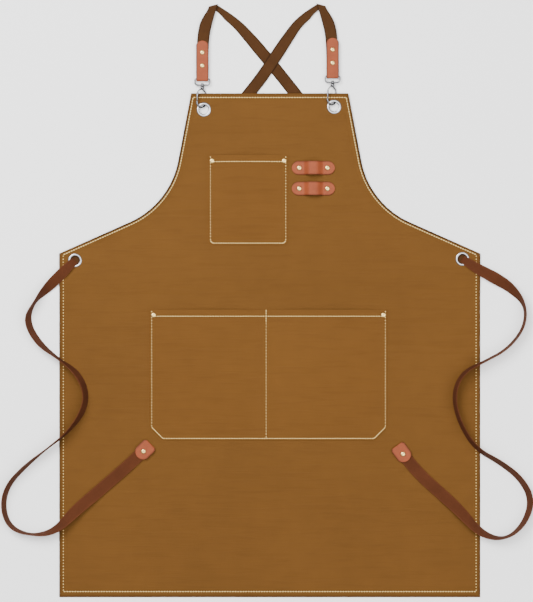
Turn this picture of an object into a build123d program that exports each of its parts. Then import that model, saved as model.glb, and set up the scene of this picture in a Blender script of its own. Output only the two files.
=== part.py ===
from build123d import *
import math
import os

# Butcher apron laid flat, front face up: +X to the viewer's right, +Y towards the bib, +Z off the table.
# All sizes are in millimetres. The origin is the middle of the footprint, on the table.

# Apron cloth
HALF_WIDTH = 351.0
BIB_HALF_WIDTH = 131.0
BOTTOM_Y = -466.0
BIB_TOP_Y = 374.0
WAIST_CORNER_Y = 107.0
ARMHOLE_CORNER = (166.5, 189.0)
ARMHOLE_RADIUS = 140.0
SHEET = 0.8
HEM_WIDTH = 11.0
HEM_DEPTH = 1.8

# Height of the back of the cloth above the table: on its hem, over the straps, and over the hooks
BACK_LOW = 1.8
BACK_MID = 3.8
BACK_HIGH = 4.8
CLOTH_STEPS = [
    (BOTTOM_Y - 10, BACK_LOW),
    (35, BACK_LOW),
    (70, BACK_MID),
    (299, BACK_MID),
    (329, BACK_HIGH),
    (BIB_TOP_Y + 10, BACK_HIGH),
]
FRONT_LOW = BACK_LOW + SHEET
FRONT_MID = BACK_MID + SHEET
FRONT_HIGH = BACK_HIGH + SHEET

# Pockets: each is a sewn flange round a raised front that is open at the top
POCKET_SHEET = 0.9
POCKET_DEPTH = 7.0
POCKET_SIDE_FLANGE = 13.0
POCKET_BOTTOM_FLANGE = 6.0
POCKET_SLOPE = 12.0
POCKET_CHAMFER = 22.0
CHEST_POCKET = (-102.0, 121.0, 30.0, 271.0)
LOWER_POCKET = (-200.0, -204.5, 196.0, 13.5)
DIVIDER_X = -6.0
DIVIDER_WIDTH = 8.0

# Leather tool loops
LOOP_X = 72.6
LOOP_YS = {"upper": 249.6, "lower": 215.2}
LOOP_LENGTH = 72.0
LOOP_WIDTH = 23.0
LOOP_LEATHER = 2.0
LOOP_GAP = 8.5
LOOP_RIVET_X = 23.4

# Rivets: a domed cap on a shank, clinched by a flat back
CAP_RADIUS = 4.2
CAP_DOME = 1.7
SHANK_RADIUS = 1.5
BACK_CAP = 0.9
POCKET_RIVETS = {
    "chest": [(-96.0, 261.5), (24.0, 261.5)],
    "lower": [(-193.5, 4.5), (189.5, 4.5)],
}

# Grommets
HOLE_RADIUS = 7.75
BARREL_RADIUS = 8.25
GROMMET_RADIUS = {"bib": 12.0, "waist": 11.5}
FLANGE_HEIGHT = 1.2
WASHER = 0.8
BARREL_CURL = 0.15
BIB_GROMMETS = {"left": (-109.8, 346.8), "right": (107.2, 351.4)}
WAIST_GROMMETS = {"left": (-324.6, 95.5), "right": (321.1, 98.0)}

# Snap hook, in a plane tipped about its stem so that one side runs over the cloth and one under it
STEM_OFFSET_X = -2.5
STEM_Z = 5.2
HOOK_TILT = 36.0
HOOK_WIRE = 1.35
HOOK_FRONT = 10.5
HOOK_BACK = -6.5
HOOK_BOTTOM_Y = 3.5
HOOK_NECK_Y = 35.5
STEM_RADIUS = 1.4
STEM_HEAD_RADIUS = 2.5
RUNNING_FIT = 0.05
PIVOT = (4.6, 33.0)
PIN_RADIUS = 0.8
LUG_HALF = 1.0
CHEEK = 0.9
CHEEK_GAP = 0.15
GATE_WIRE = 1.15
NOSE_Y = 14.0

# Strap eye
EYE_HALF = 12.0
EYE_WIRE = 1.25
EYE_BOTTOM_Y = 40.6
EYE_TOP_Y = 50.9
BOSS_RADIUS = 2.9
BOSS_LOW = 39.0
BOSS_HIGH = 42.2

# Straps and their leather ends
WEB_WIDTH = 20.0
WEB = 1.3
TAB_HALF = 10.3
TAB_END_Y = 114.6
TAB_LEATHER = 1.6
TAB_INNER = 1.33
TAB_GAP = 0.68
TAB_RIVET_YS = (73.0, 95.0)
FOLD_ANGLE = 15.0
BACK_LEVEL = {"left": 0.0, "right": 1.4}
CROSSING_END_Y = 405.0
CROSSING_RAMP = 20.0
TAIL_OVER_GROMMET = FRONT_MID + FLANGE_HEIGHT + 0.1
TAIL_EDGE_LEVEL = FRONT_LOW + 0.3
END_TAB_LENGTH = 30.0
END_TAB_WIDTH = 26.0
END_TAB_LEATHER = 1.6

# Strap routes, seen from above. Front runs start inside the leather tab and end at the shoulder fold.
FRONT_ROUTES = {
    "left": [(-112.3, 407.8), (-112.3, 455.0), (-107.5, 489.0), (-98.0, 518.0)],
    "right": [(104.7, 412.4), (104.2, 458.0), (99.0, 490.0), (89.5, 519.5)],
}
BACK_ROUTES = {
    "left": [
        (-94.0, 518.5),
        (-62.0, 498.0),
        (-29.0, 462.0),
        (42.0, 376.0),
        (112.0, 280.0),
        (146.0, 208.0),
        (200.0, 152.0),
        (262.0, 121.0),
        (321.1, 98.0),
    ],
    "right": [
        (86.0, 520.0),
        (54.0, 500.0),
        (29.0, 465.0),
        (-33.0, 376.0),
        (-108.0, 280.0),
        (-146.0, 208.0),
        (-201.0, 152.0),
        (-264.0, 121.0),
        (-324.6, 95.5),
    ],
}
TAIL_FLATS = {
    "left": [(-324.6, 95.5), (-343.5, 77.0), (-363.5, 56.5)],
    "right": [(321.1, 98.0), (345.0, 82.0), (371.3, 68.4)],
}
TAIL_ROUTES = {
    "left": [
        (-364.0, 56.0),
        (-392.0, 27.0),
        (-408.0, -5.0),
        (-385.0, -43.0),
        (-350.0, -69.0),
        (-319.0, -92.0),
        (-303.0, -127.0),
        (-312.0, -160.0),
        (-338.0, -193.0),
        (-372.0, -219.0),
        (-406.0, -246.0),
        (-437.0, -279.0),
        (-447.0, -316.0),
        (-432.0, -350.0),
        (-396.0, -364.0),
        (-357.0, -356.0),
        (-324.0, -322.0),
        (-285.0, -289.0),
        (-257.0, -265.0),
    ],
    "right": [
        (372.0, 68.0),
        (402.0, 50.0),
        (426.0, 21.0),
        (424.0, -16.0),
        (396.0, -52.0),
        (356.0, -73.0),
        (320.0, -91.0),
        (305.0, -127.0),
        (314.0, -172.0),
        (342.0, -218.0),
        (383.0, -240.0),
        (418.0, -267.0),
        (437.0, -303.0),
        (424.0, -343.0),
        (393.0, -371.0),
        (352.0, -361.0),
        (316.0, -321.0),
        (281.0, -289.0),
        (256.0, -267.0),
    ],
}
END_FLATS = {
    "left": [(-256.3, -264.3), (-229.0, -240.0), (-203.0, -215.0)],
    "right": [(255.3, -266.4), (234.0, -243.0), (215.0, -218.0)],
}
END_TIPS = {"left": ((-198.5, -211.0), 44.0), "right": ((212.2, -213.6), 126.0)}
END_RIVET_BACK = 16.5


def finish(builder, name):
    """Labels a finished piece and writes it to its own file."""
    builder.part.label = name
    export_step(builder.part, f"parts/{name}.step")


def cloth_profile(below, above):
    """Side outline (Y, Z) of a layer that follows the back of the cloth, from below to above it."""
    upper = [(y, z + above) for y, z in CLOTH_STEPS]
    lower = [(y, z + below) for y, z in reversed(CLOTH_STEPS)]
    return upper + lower


def apron_outline():
    """Bib, two hollow armholes and a straight skirt."""
    right = [
        (BIB_HALF_WIDTH, BIB_TOP_Y),
        ARMHOLE_CORNER,
        (HALF_WIDTH, WAIST_CORNER_Y),
        (HALF_WIDTH, BOTTOM_Y),
    ]
    return right + [(-x, y) for x, y in reversed(right)]


def arc_radii(points):
    """As large an arc at each corner as its two runs allow."""
    radii = []
    for before, corner, after in zip(points, points[1:], points[2:]):
        run_in = Vector(*corner) - Vector(*before)
        run_out = Vector(*after) - Vector(*corner)
        half_turn = math.radians(run_in.get_angle(run_out)) / 2
        radii.append(0.45 * min(run_in.length, run_out.length) / math.tan(half_turn))
    return radii


def route_length(points):
    """Length of the straight runs joined by tangent arcs."""
    total = sum((Vector(*b) - Vector(*a)).length for a, b in zip(points, points[1:]))
    for radius, before, corner, after in zip(arc_radii(points), points, points[1:], points[2:]):
        half_turn = math.radians((Vector(*corner) - Vector(*before)).get_angle(Vector(*after) - Vector(*corner))) / 2
        total -= 2 * radius * (math.tan(half_turn) - half_turn)
    return total


def ribbon(points, width, level, height):
    """A band of one width along a route, raised from level by height."""
    with BuildPart() as band:
        with BuildSketch(Plane.XY.offset(level)):
            with BuildLine():
                FilletPolyline(*points, radius=arc_radii(points))
            trace(line_width=width)
        extrude(amount=height)
    return band


def rivet_caps(places, level, depth, radius=CAP_RADIUS):
    """Domed caps standing on level, each with a shank that goes down by depth."""
    with BuildPart() as caps:
        with Locations(*[(x, y, level) for x, y in places]):
            Cylinder(radius, 0.5, align=(Align.CENTER, Align.CENTER, Align.MIN))
            Cylinder(SHANK_RADIUS, depth, align=(Align.CENTER, Align.CENTER, Align.MAX))
        with Locations(*[(x, y, level + 0.5) for x, y in places]):
            Cone(radius, radius * 0.55, CAP_DOME - 0.5, align=(Align.CENTER, Align.CENTER, Align.MIN))
    return caps


def rivet_backs(places, level, radius=CAP_RADIUS):
    """Flat back caps under level, each holding the end of a shank in its middle."""
    with BuildPart() as backs:
        with Locations(*[(x, y, level) for x, y in places]):
            Cylinder(radius, BACK_CAP, align=(Align.CENTER, Align.CENTER, Align.MAX))
            Cylinder(SHANK_RADIUS, BACK_CAP, align=(Align.CENTER, Align.CENTER, Align.MAX), mode=Mode.SUBTRACT)
    return backs


os.makedirs("parts", exist_ok=True)
SIDES = ("left", "right")
LOOP_RIVETS = [(LOOP_X + side * LOOP_RIVET_X, y) for y in LOOP_YS.values() for side in (-1, 1)]

# Apron panel: one sheet with its hem turned under along every edge
with BuildPart() as hem:
    with BuildSketch():
        with BuildLine():
            Polyline(*apron_outline(), close=True)
        make_face()
        fillet(vertices().group_by(Axis.Y)[-2], ARMHOLE_RADIUS)
        offset(amount=-HEM_WIDTH, kind=Kind.INTERSECTION, mode=Mode.SUBTRACT)
    extrude(amount=10)
    with BuildSketch(Plane.YZ):
        with BuildLine():
            Polyline(*cloth_profile(-HEM_DEPTH, 0), close=True)
        make_face()
    extrude(amount=400, both=True, mode=Mode.INTERSECT)
    with BuildSketch():
        with Locations(*WAIST_GROMMETS.values()):
            Circle(GROMMET_RADIUS["waist"])
    extrude(amount=10, mode=Mode.SUBTRACT)

with BuildPart() as apron_panel:
    with BuildSketch():
        with BuildLine():
            Polyline(*apron_outline(), close=True)
        make_face()
        fillet(vertices().group_by(Axis.Y)[-2], ARMHOLE_RADIUS)
    extrude(amount=10)
    with BuildSketch(Plane.YZ):
        with BuildLine():
            Polyline(*cloth_profile(0, SHEET), close=True)
        make_face()
    extrude(amount=400, both=True, mode=Mode.INTERSECT)
    add(hem.part)
    with BuildSketch():
        with Locations(*BIB_GROMMETS.values(), *WAIST_GROMMETS.values()):
            Circle(BARREL_RADIUS)
        with Locations(*LOOP_RIVETS, *POCKET_RIVETS["chest"], *POCKET_RIVETS["lower"]):
            Circle(SHANK_RADIUS)
    extrude(amount=10, mode=Mode.SUBTRACT)
finish(apron_panel, "apron_panel")


def pocket_front(low_x, low_y, high_x, high_y, level, inset, height, past_mouth):
    """One raised pocket front: its foot on the cloth, its face narrower by the slope."""
    foot = (low_x + inset, low_y + inset, high_x - inset, high_y + past_mouth)
    face = (foot[0] + POCKET_SLOPE, foot[1] + POCKET_SLOPE, foot[2] - POCKET_SLOPE, foot[3])
    with BuildPart() as front:
        for (left, low, right, high), z in ((foot, level), (face, level + height)):
            with BuildSketch(Plane.XY.offset(z)):
                with BuildLine():
                    Polyline((left, low), (right, low), (right, high), (left, high), close=True)
                make_face()
        loft(ruled=True)
    return front


def pocket(outline_points, bays, rivets, level):
    """A flat flange sewn to the cloth, with one raised and hollow bay for each compartment."""
    raised = [pocket_front(*bay, level, 0, POCKET_DEPTH, 0) for bay in bays]
    hollow = [pocket_front(*bay, level, POCKET_SHEET, POCKET_DEPTH - POCKET_SHEET, 5) for bay in bays]
    with BuildPart() as cloth:
        with BuildSketch(Plane.XY.offset(level)):
            with BuildLine():
                Polyline(*outline_points, close=True)
            make_face()
        extrude(amount=POCKET_SHEET)
        for bay in raised:
            add(bay.part)
        for bay in hollow:
            add(bay.part, mode=Mode.SUBTRACT)
        with Locations(*[(x, y, level) for x, y in rivets]):
            Cylinder(SHANK_RADIUS, 5, mode=Mode.SUBTRACT)
    return cloth


low_x, low_y, high_x, high_y = CHEST_POCKET
chest_outline = [(low_x, low_y), (high_x, low_y), (high_x, high_y), (low_x, high_y)]
chest_bay = (
    low_x + POCKET_SIDE_FLANGE,
    low_y + POCKET_BOTTOM_FLANGE,
    high_x - POCKET_SIDE_FLANGE,
    high_y,
)
chest_pocket = pocket(chest_outline, [chest_bay], POCKET_RIVETS["chest"], FRONT_MID)
finish(chest_pocket, "chest_pocket")

low_x, low_y, high_x, high_y = LOWER_POCKET
lower_outline = [
    (low_x + POCKET_CHAMFER, low_y),
    (high_x - POCKET_CHAMFER, low_y),
    (high_x, low_y + POCKET_CHAMFER),
    (high_x, high_y),
    (low_x, high_y),
    (low_x, low_y + POCKET_CHAMFER),
]
floor_y = low_y + POCKET_BOTTOM_FLANGE
lower_bays = [
    (low_x + POCKET_SIDE_FLANGE, floor_y, DIVIDER_X - DIVIDER_WIDTH / 2, high_y),
    (DIVIDER_X + DIVIDER_WIDTH / 2, floor_y, high_x - POCKET_SIDE_FLANGE, high_y),
]
lower_pocket = pocket(lower_outline, lower_bays, POCKET_RIVETS["lower"], FRONT_LOW)
finish(lower_pocket, "lower_pocket")

# Leather tool loops: flat riveted ends and a raised middle that tools slide under
loop_profile = [(-36, 0), (-16, 0), (-10, LOOP_GAP), (10, LOOP_GAP), (16, 0), (36, 0)]
for name, loop_y in LOOP_YS.items():
    with BuildPart() as tool_loop:
        with BuildSketch(Plane((LOOP_X, loop_y, FRONT_MID), x_dir=(1, 0, 0), z_dir=(0, -1, 0))):
            with BuildLine():
                top = [(x, z + LOOP_LEATHER) for x, z in reversed(loop_profile)]
                Polyline(*loop_profile, *top, close=True)
            make_face()
        extrude(amount=LOOP_WIDTH / 2, both=True)
        with BuildSketch(Plane.XY):
            with Locations((LOOP_X, loop_y)):
                SlotOverall(LOOP_LENGTH, LOOP_WIDTH)
        extrude(amount=30, mode=Mode.INTERSECT)
        with Locations(*[(x, y, FRONT_MID) for x, y in LOOP_RIVETS if y == loop_y]):
            Cylinder(SHANK_RADIUS, 10, mode=Mode.SUBTRACT)
    finish(tool_loop, f"tool_loop_{name}")

loop_stack = LOOP_LEATHER + SHEET + BACK_CAP
tool_loop_rivets = rivet_caps(LOOP_RIVETS, FRONT_MID + LOOP_LEATHER, loop_stack)
finish(tool_loop_rivets, "tool_loop_rivets")
tool_loop_rivet_backs = rivet_backs(LOOP_RIVETS, BACK_MID)
finish(tool_loop_rivet_backs, "tool_loop_rivet_backs")

for name, front, back in (("chest", FRONT_MID, BACK_MID), ("lower", FRONT_LOW, BACK_LOW)):
    places = POCKET_RIVETS[name]
    pocket_rivets = rivet_caps(places, front + POCKET_SHEET, POCKET_SHEET + SHEET + BACK_CAP)
    finish(pocket_rivets, f"{name}_pocket_rivets")
    pocket_rivet_backs = rivet_backs(places, back)
    finish(pocket_rivet_backs, f"{name}_pocket_rivet_backs")

# Grommets: a flanged barrel from the front, clinched over a washer at the back
for row, centres, front, back in (
    ("bib", BIB_GROMMETS, FRONT_HIGH, BACK_HIGH),
    ("waist", WAIST_GROMMETS, FRONT_MID, BACK_MID),
):
    flange = GROMMET_RADIUS[row]
    for side, (x, y) in centres.items():
        with BuildPart() as grommet:
            with BuildSketch(Plane((x, y, 0), x_dir=(1, 0, 0), z_dir=(0, -1, 0))):
                with BuildLine():
                    Polyline(
                        (HOLE_RADIUS, back - WASHER - BARREL_CURL),
                        (BARREL_RADIUS, back - WASHER - BARREL_CURL),
                        (BARREL_RADIUS, front),
                        (flange, front),
                        (flange - 0.6, front + FLANGE_HEIGHT * 0.7),
                        (flange - 1.6, front + FLANGE_HEIGHT),
                        (HOLE_RADIUS + 0.9, front + FLANGE_HEIGHT),
                        (HOLE_RADIUS, front + FLANGE_HEIGHT * 0.4),
                        close=True,
                    )
                make_face()
            revolve(axis=Axis((x, y, 0), (0, 0, 1)))
        finish(grommet, f"{row}_grommet_{side}")
        with BuildPart() as washer:
            with BuildSketch(Plane.XY.offset(back - WASHER)):
                with Locations((x, y)):
                    Circle(flange - 0.5)
                    Circle(BARREL_RADIUS, mode=Mode.SUBTRACT)
            extrude(amount=WASHER)
        finish(washer, f"{row}_washer_{side}")

# Snap hooks, strap eyes and the riveted leather ends of the shoulder straps
tilt = math.radians(HOOK_TILT)
front_way = Vector(-math.cos(tilt), 0, math.sin(tilt))
across_way = front_way.cross(Vector(0, 1, 0))
hook_middle = (HOOK_FRONT + HOOK_BACK) / 2
bend_radius = (HOOK_FRONT - HOOK_BACK) / 2
bend_y = HOOK_BOTTOM_Y + bend_radius

for side in SIDES:
    grommet_x, grommet_y = BIB_GROMMETS[side]
    stem_x = grommet_x + STEM_OFFSET_X
    hook_plane = Plane((stem_x, grommet_y, STEM_Z), x_dir=front_way, z_dir=across_way)
    stem_axis = Axis((stem_x, 0, STEM_Z), (0, 1, 0))

    with BuildPart() as snap_hook:
        with BuildLine(hook_plane) as hook_path:
            nose = Line((HOOK_FRONT, NOSE_Y), (HOOK_FRONT, bend_y))
            bend = ThreePointArc(nose @ 1, (hook_middle, HOOK_BOTTOM_Y), (HOOK_BACK, bend_y))
            spine = Line(bend @ 1, (HOOK_BACK, 26.0))
            neck = TangentArc(spine @ 1, (0, HOOK_NECK_Y), tangent=spine % 1)
        with BuildSketch(Plane(origin=nose @ 0, z_dir=nose % 0)):
            Circle(HOOK_WIRE)
        sweep()
        with BuildSketch(Plane((stem_x, 0, STEM_Z), x_dir=(1, 0, 0), z_dir=(0, 0, 1))):
            with BuildLine():
                Polyline(
                    (0, grommet_y + 34.0),
                    (2.0, grommet_y + 34.0),
                    (2.6, grommet_y + 36.6),
                    (2.6, grommet_y + BOSS_LOW - 0.2),
                    (STEM_RADIUS, grommet_y + BOSS_LOW - 0.2),
                    (STEM_RADIUS, grommet_y + BOSS_HIGH + 0.2),
                    (STEM_HEAD_RADIUS, grommet_y + BOSS_HIGH + 0.2),
                    (STEM_HEAD_RADIUS * 0.8, grommet_y + BOSS_HIGH + 1.3),
                    (0, grommet_y + BOSS_HIGH + 1.3),
                    close=True,
                )
            make_face()
        revolve(axis=stem_axis)
        with BuildSketch(hook_plane.offset(-LUG_HALF)):
            with BuildLine():
                Polyline(
                    (-2.6, HOOK_NECK_Y + 1.0),
                    (-2.6, HOOK_NECK_Y - 4.5),
                    (PIVOT[0], PIVOT[1] - 2.0),
                    (PIVOT[0] + 1.8, PIVOT[1]),
                    (PIVOT[0] + 0.6, PIVOT[1] + 1.9),
                    (2.2, HOOK_NECK_Y + 2.4),
                    close=True,
                )
            make_face()
        extrude(amount=2 * LUG_HALF)
        with BuildSketch(hook_plane.offset(-5)):
            with Locations(PIVOT):
                Circle(PIN_RADIUS)
        extrude(amount=10, mode=Mode.SUBTRACT)
    finish(snap_hook, f"snap_hook_{side}")

    with BuildPart() as gate_pin:
        with BuildSketch(hook_plane.offset(-LUG_HALF - CHEEK_GAP - CHEEK - 0.3)):
            with Locations(PIVOT):
                Circle(PIN_RADIUS)
        extrude(amount=2 * (LUG_HALF + CHEEK_GAP + CHEEK + 0.3))
    finish(gate_pin, f"gate_pin_{side}")

    # Gate: two cheeks on the pin, joined below the lug by a bar that closes on the nose
    with BuildPart() as snap_gate:
        for level in (-LUG_HALF - CHEEK_GAP - CHEEK, LUG_HALF + CHEEK_GAP):
            with BuildSketch(hook_plane.offset(level)):
                with BuildLine():
                    Polyline(
                        (PIVOT[0] - 1.9, PIVOT[1] + 1.2),
                        (PIVOT[0] - 1.4, PIVOT[1] - 1.8),
                        (HOOK_FRONT - 2.6, 25.0),
                        (HOOK_FRONT + 0.9, 25.0),
                        (HOOK_FRONT + 0.6, 29.5),
                        (PIVOT[0] + 1.6, PIVOT[1] + 1.9),
                        close=True,
                    )
                make_face()
                with Locations(PIVOT):
                    Circle(PIN_RADIUS + RUNNING_FIT, mode=Mode.SUBTRACT)
            extrude(amount=CHEEK)
        with BuildSketch(hook_plane.offset(-LUG_HALF - CHEEK_GAP - CHEEK)):
            with BuildLine():
                Polyline(
                    (HOOK_FRONT - 2.4, 27.6),
                    (HOOK_FRONT - 2.4, 24.6),
                    (HOOK_FRONT + 0.9, 24.6),
                    (HOOK_FRONT + 0.75, 27.6),
                    close=True,
                )
            make_face()
        extrude(amount=2 * (LUG_HALF + CHEEK_GAP + CHEEK))
        with BuildSketch(Plane(hook_plane.from_local_coords((HOOK_FRONT - 0.2, 24.7, 0)), z_dir=(0, -1, 0))):
            Circle(GATE_WIRE)
        extrude(amount=24.7 - NOSE_Y - 0.3)
    finish(snap_gate, f"snap_gate_{side}")

    with BuildPart() as strap_eye:
        with BuildLine(Plane.XY.offset(STEM_Z)):
            FilletPolyline(
                (stem_x, grommet_y + EYE_BOTTOM_Y),
                (stem_x + EYE_HALF, grommet_y + EYE_BOTTOM_Y),
                (stem_x + EYE_HALF, grommet_y + EYE_TOP_Y),
                (stem_x, grommet_y + EYE_TOP_Y),
                radius=[4.0, 1.6],
            )
        with BuildSketch(Plane((stem_x, grommet_y + EYE_BOTTOM_Y, STEM_Z), z_dir=(1, 0, 0))):
            Circle(EYE_WIRE)
        sweep()
        mirror(about=Plane.YZ.offset(stem_x))
        with BuildSketch(Plane((stem_x, grommet_y + BOSS_LOW, STEM_Z), z_dir=(0, 1, 0))):
            Circle(BOSS_RADIUS)
        extrude(amount=BOSS_HIGH - BOSS_LOW)
        with BuildSketch(Plane((stem_x, grommet_y + BOSS_LOW - 1, STEM_Z), z_dir=(0, 1, 0))):
            Circle(STEM_RADIUS + RUNNING_FIT)
        extrude(amount=BOSS_HIGH - BOSS_LOW + 2, mode=Mode.SUBTRACT)
    finish(strap_eye, f"strap_eye_{side}")

    # Leather tab: wrapped round the eye's top bar, both layers riveted through the webbing
    wrap_outer = TAB_INNER + TAB_LEATHER
    layer_outer = TAB_GAP + TAB_LEATHER
    tab_side = Plane((stem_x, grommet_y, STEM_Z), x_dir=(0, 1, 0), z_dir=(1, 0, 0))
    with BuildPart() as shoulder_tab:
        with BuildSketch(tab_side):
            with BuildLine():
                Polyline(
                    (EYE_TOP_Y, TAB_INNER),
                    (EYE_TOP_Y + 5.0, TAB_GAP),
                    (TAB_END_Y, TAB_GAP),
                    (TAB_END_Y, layer_outer),
                    (EYE_TOP_Y + 5.0, layer_outer),
                    (EYE_TOP_Y, wrap_outer),
                )
                ThreePointArc((EYE_TOP_Y, wrap_outer), (EYE_TOP_Y - wrap_outer, 0), (EYE_TOP_Y, -wrap_outer))
                Polyline(
                    (EYE_TOP_Y, -wrap_outer),
                    (EYE_TOP_Y + 5.0, -layer_outer),
                    (TAB_END_Y, -layer_outer),
                    (TAB_END_Y, -TAB_GAP),
                    (EYE_TOP_Y + 5.0, -TAB_GAP),
                    (EYE_TOP_Y, -TAB_INNER),
                )
                ThreePointArc((EYE_TOP_Y, -TAB_INNER), (EYE_TOP_Y - TAB_INNER, 0), (EYE_TOP_Y, TAB_INNER))
            make_face()
        extrude(amount=TAB_HALF, both=True)
        with BuildSketch():
            with BuildLine():
                low = grommet_y + EYE_TOP_Y - 5
                shoulder = grommet_y + TAB_END_Y - TAB_HALF * 0.8
                Polyline(
                    (stem_x - TAB_HALF, shoulder),
                    (stem_x - TAB_HALF, low),
                    (stem_x + TAB_HALF, low),
                    (stem_x + TAB_HALF, shoulder),
                )
                ThreePointArc(
                    (stem_x + TAB_HALF, shoulder),
                    (stem_x, grommet_y + TAB_END_Y),
                    (stem_x - TAB_HALF, shoulder),
                )
            make_face()
            with Locations(*[(stem_x, grommet_y + y) for y in TAB_RIVET_YS]):
                Circle(SHANK_RADIUS, mode=Mode.SUBTRACT)
        extrude(amount=20, mode=Mode.INTERSECT)
    finish(shoulder_tab, f"shoulder_tab_{side}")

    places = [(stem_x, grommet_y + y) for y in TAB_RIVET_YS]
    tab_rivets = rivet_caps(places, STEM_Z + layer_outer, 2 * layer_outer + BACK_CAP, 3.9)
    finish(tab_rivets, f"tab_rivets_{side}")
    tab_rivet_backs = rivet_backs(places, STEM_Z - layer_outer, 3.9)
    finish(tab_rivet_backs, f"tab_rivet_backs_{side}")

# Straps: front run, shoulder fold, back run under the bib, pass through the far grommet, and free tail
for side, far_side in (("left", "right"), ("right", "left")):
    turn = 1 if side == "left" else -1
    front_level = STEM_Z - WEB / 2
    back_level = BACK_LEVEL[side]
    route = FRONT_ROUTES[side]
    fold_x, fold_y = route[-1]
    fold_way = Vector(1, 0, 0).rotate(Axis.Z, turn * FOLD_ANGLE)
    fold_plane = Plane((fold_x, fold_y, 0), x_dir=fold_way, z_dir=fold_way.cross(Vector(0, 0, 1)))
    run_out = (Vector(*route[-1]) - Vector(*route[-2])).normalized()
    past = tuple(Vector(*route[-1]) + run_out * 12)[:2]

    with BuildPart() as front_webbing:
        add(ribbon(route[:-1] + [past], WEB_WIDTH, front_level, WEB).part)
        split(bisect_by=fold_plane, keep=Keep.TOP)
        grommet_x, grommet_y = BIB_GROMMETS[side]
        with Locations(*[(grommet_x + STEM_OFFSET_X, grommet_y + y, STEM_Z) for y in TAB_RIVET_YS]):
            Cylinder(SHANK_RADIUS, 5, mode=Mode.SUBTRACT)
    finish(front_webbing, f"front_webbing_{side}")

    top_level = front_level + WEB
    outer = (top_level - back_level) / 2
    middle = (top_level + back_level) / 2
    half_fold = WEB_WIDTH / 2 / math.cos(math.radians(FOLD_ANGLE))
    with BuildPart() as fold_webbing:
        up_way = fold_way.cross(Vector(0, 0, -1))
        with BuildSketch(Plane((fold_x, fold_y, middle), x_dir=up_way, z_dir=fold_way)):
            Circle(outer)
            Circle(outer - WEB, mode=Mode.SUBTRACT)
            Rectangle(outer, 2 * outer, align=(Align.MAX, Align.CENTER), mode=Mode.SUBTRACT)
        extrude(amount=half_fold, both=True)
    finish(fold_webbing, f"fold_webbing_{side}")

    route = BACK_ROUTES[side]
    run_in = (Vector(*route[0]) - Vector(*route[1])).normalized()
    past = tuple(Vector(*route[0]) + run_in * 12)[:2]
    with BuildPart() as back_webbing:
        add(ribbon([past] + route[1:], WEB_WIDTH, 0, 10).part)
        split(bisect_by=fold_plane, keep=Keep.TOP)
        steps = [(600, back_level), (CROSSING_END_Y, back_level), (CROSSING_END_Y - CROSSING_RAMP, 0), (0, 0)]
        with BuildSketch(Plane.YZ):
            with BuildLine():
                Polyline(*steps, *[(y, z + WEB) for y, z in reversed(steps)], close=True)
            make_face()
        extrude(amount=400, both=True, mode=Mode.INTERSECT)
    finish(back_webbing, f"back_webbing_{side}")
    print(side, "shoulder runs", round(route_length(FRONT_ROUTES[side])), round(route_length(route)))

    # Pass: the webbing gathered to go up through the hole of the grommet on the far side
    hole_x, hole_y = WAIST_GROMMETS[far_side]
    with BuildPart() as waist_pass:
        with BuildSketch(Plane.XY.offset(WEB)):
            with Locations((hole_x, hole_y)):
                Rectangle(3 * WEB, 11.0, rotation=45 if far_side == "left" else -45)
        extrude(amount=TAIL_OVER_GROMMET - WEB)
    finish(waist_pass, f"waist_pass_{far_side}")

for side in SIDES:
    tail_top = ribbon(TAIL_FLATS[side], WEB_WIDTH * 0.8, TAIL_OVER_GROMMET, WEB)
    finish(tail_top, f"tail_start_{side}")
    waist_tail = ribbon(TAIL_ROUTES[side], WEB, TAIL_EDGE_LEVEL, WEB_WIDTH)
    finish(waist_tail, f"waist_tail_{side}")
    end_level = FRONT_LOW + END_TAB_LEATHER
    (tip_x, tip_y), angle = END_TIPS[side]
    strap_way = Vector(1, 0, 0).rotate(Axis.Z, angle)
    rivet_place = tuple(Vector(tip_x, tip_y) - strap_way * END_RIVET_BACK)[:2]
    with BuildPart() as tail_end:
        add(ribbon(END_FLATS[side], WEB_WIDTH, end_level, WEB).part)
        with Locations((*rivet_place, end_level)):
            Cylinder(SHANK_RADIUS, 5, mode=Mode.SUBTRACT)
    finish(tail_end, f"tail_end_{side}")
    section = WEB * WEB_WIDTH
    radii = [round(r) for r in arc_radii(TAIL_ROUTES[side])]
    print(side, "tail radii", radii)
    print(side, "tail length", round(route_length(TAIL_ROUTES[side])), round(waist_tail.part.volume / section))

    # Leather end tab: folded over the tip of the strap and riveted through it
    tab_plane = Plane((tip_x, tip_y, FRONT_LOW), x_dir=strap_way, z_dir=Vector(0, 0, 1))
    with BuildPart() as end_tab:
        with BuildSketch(tab_plane):
            with BuildLine():
                half = END_TAB_WIDTH / 2
                Polyline((-END_TAB_LENGTH + 11, half), (0, half), (0, -half), (-END_TAB_LENGTH + 11, -half))
                ThreePointArc((-END_TAB_LENGTH + 11, half), (-END_TAB_LENGTH, 0), (-END_TAB_LENGTH + 11, -half))
            make_face()
            with Locations((-END_RIVET_BACK, 0)):
                Circle(SHANK_RADIUS, mode=Mode.SUBTRACT)
        extrude(amount=2 * END_TAB_LEATHER + WEB)
        with BuildSketch(tab_plane.offset(END_TAB_LEATHER)):
            with Locations((-2.0, 0)):
                Rectangle(2 * END_TAB_LENGTH, 2 * half, align=(Align.MAX, Align.CENTER))
        extrude(amount=WEB, mode=Mode.SUBTRACT)
    finish(end_tab, f"end_tab_{side}")
    end_rivet = rivet_caps([rivet_place], FRONT_LOW + 2 * END_TAB_LEATHER + WEB, 2 * END_TAB_LEATHER + WEB)
    finish(end_rivet, f"end_rivet_{side}")
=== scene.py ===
import math
from functools import partial

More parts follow.
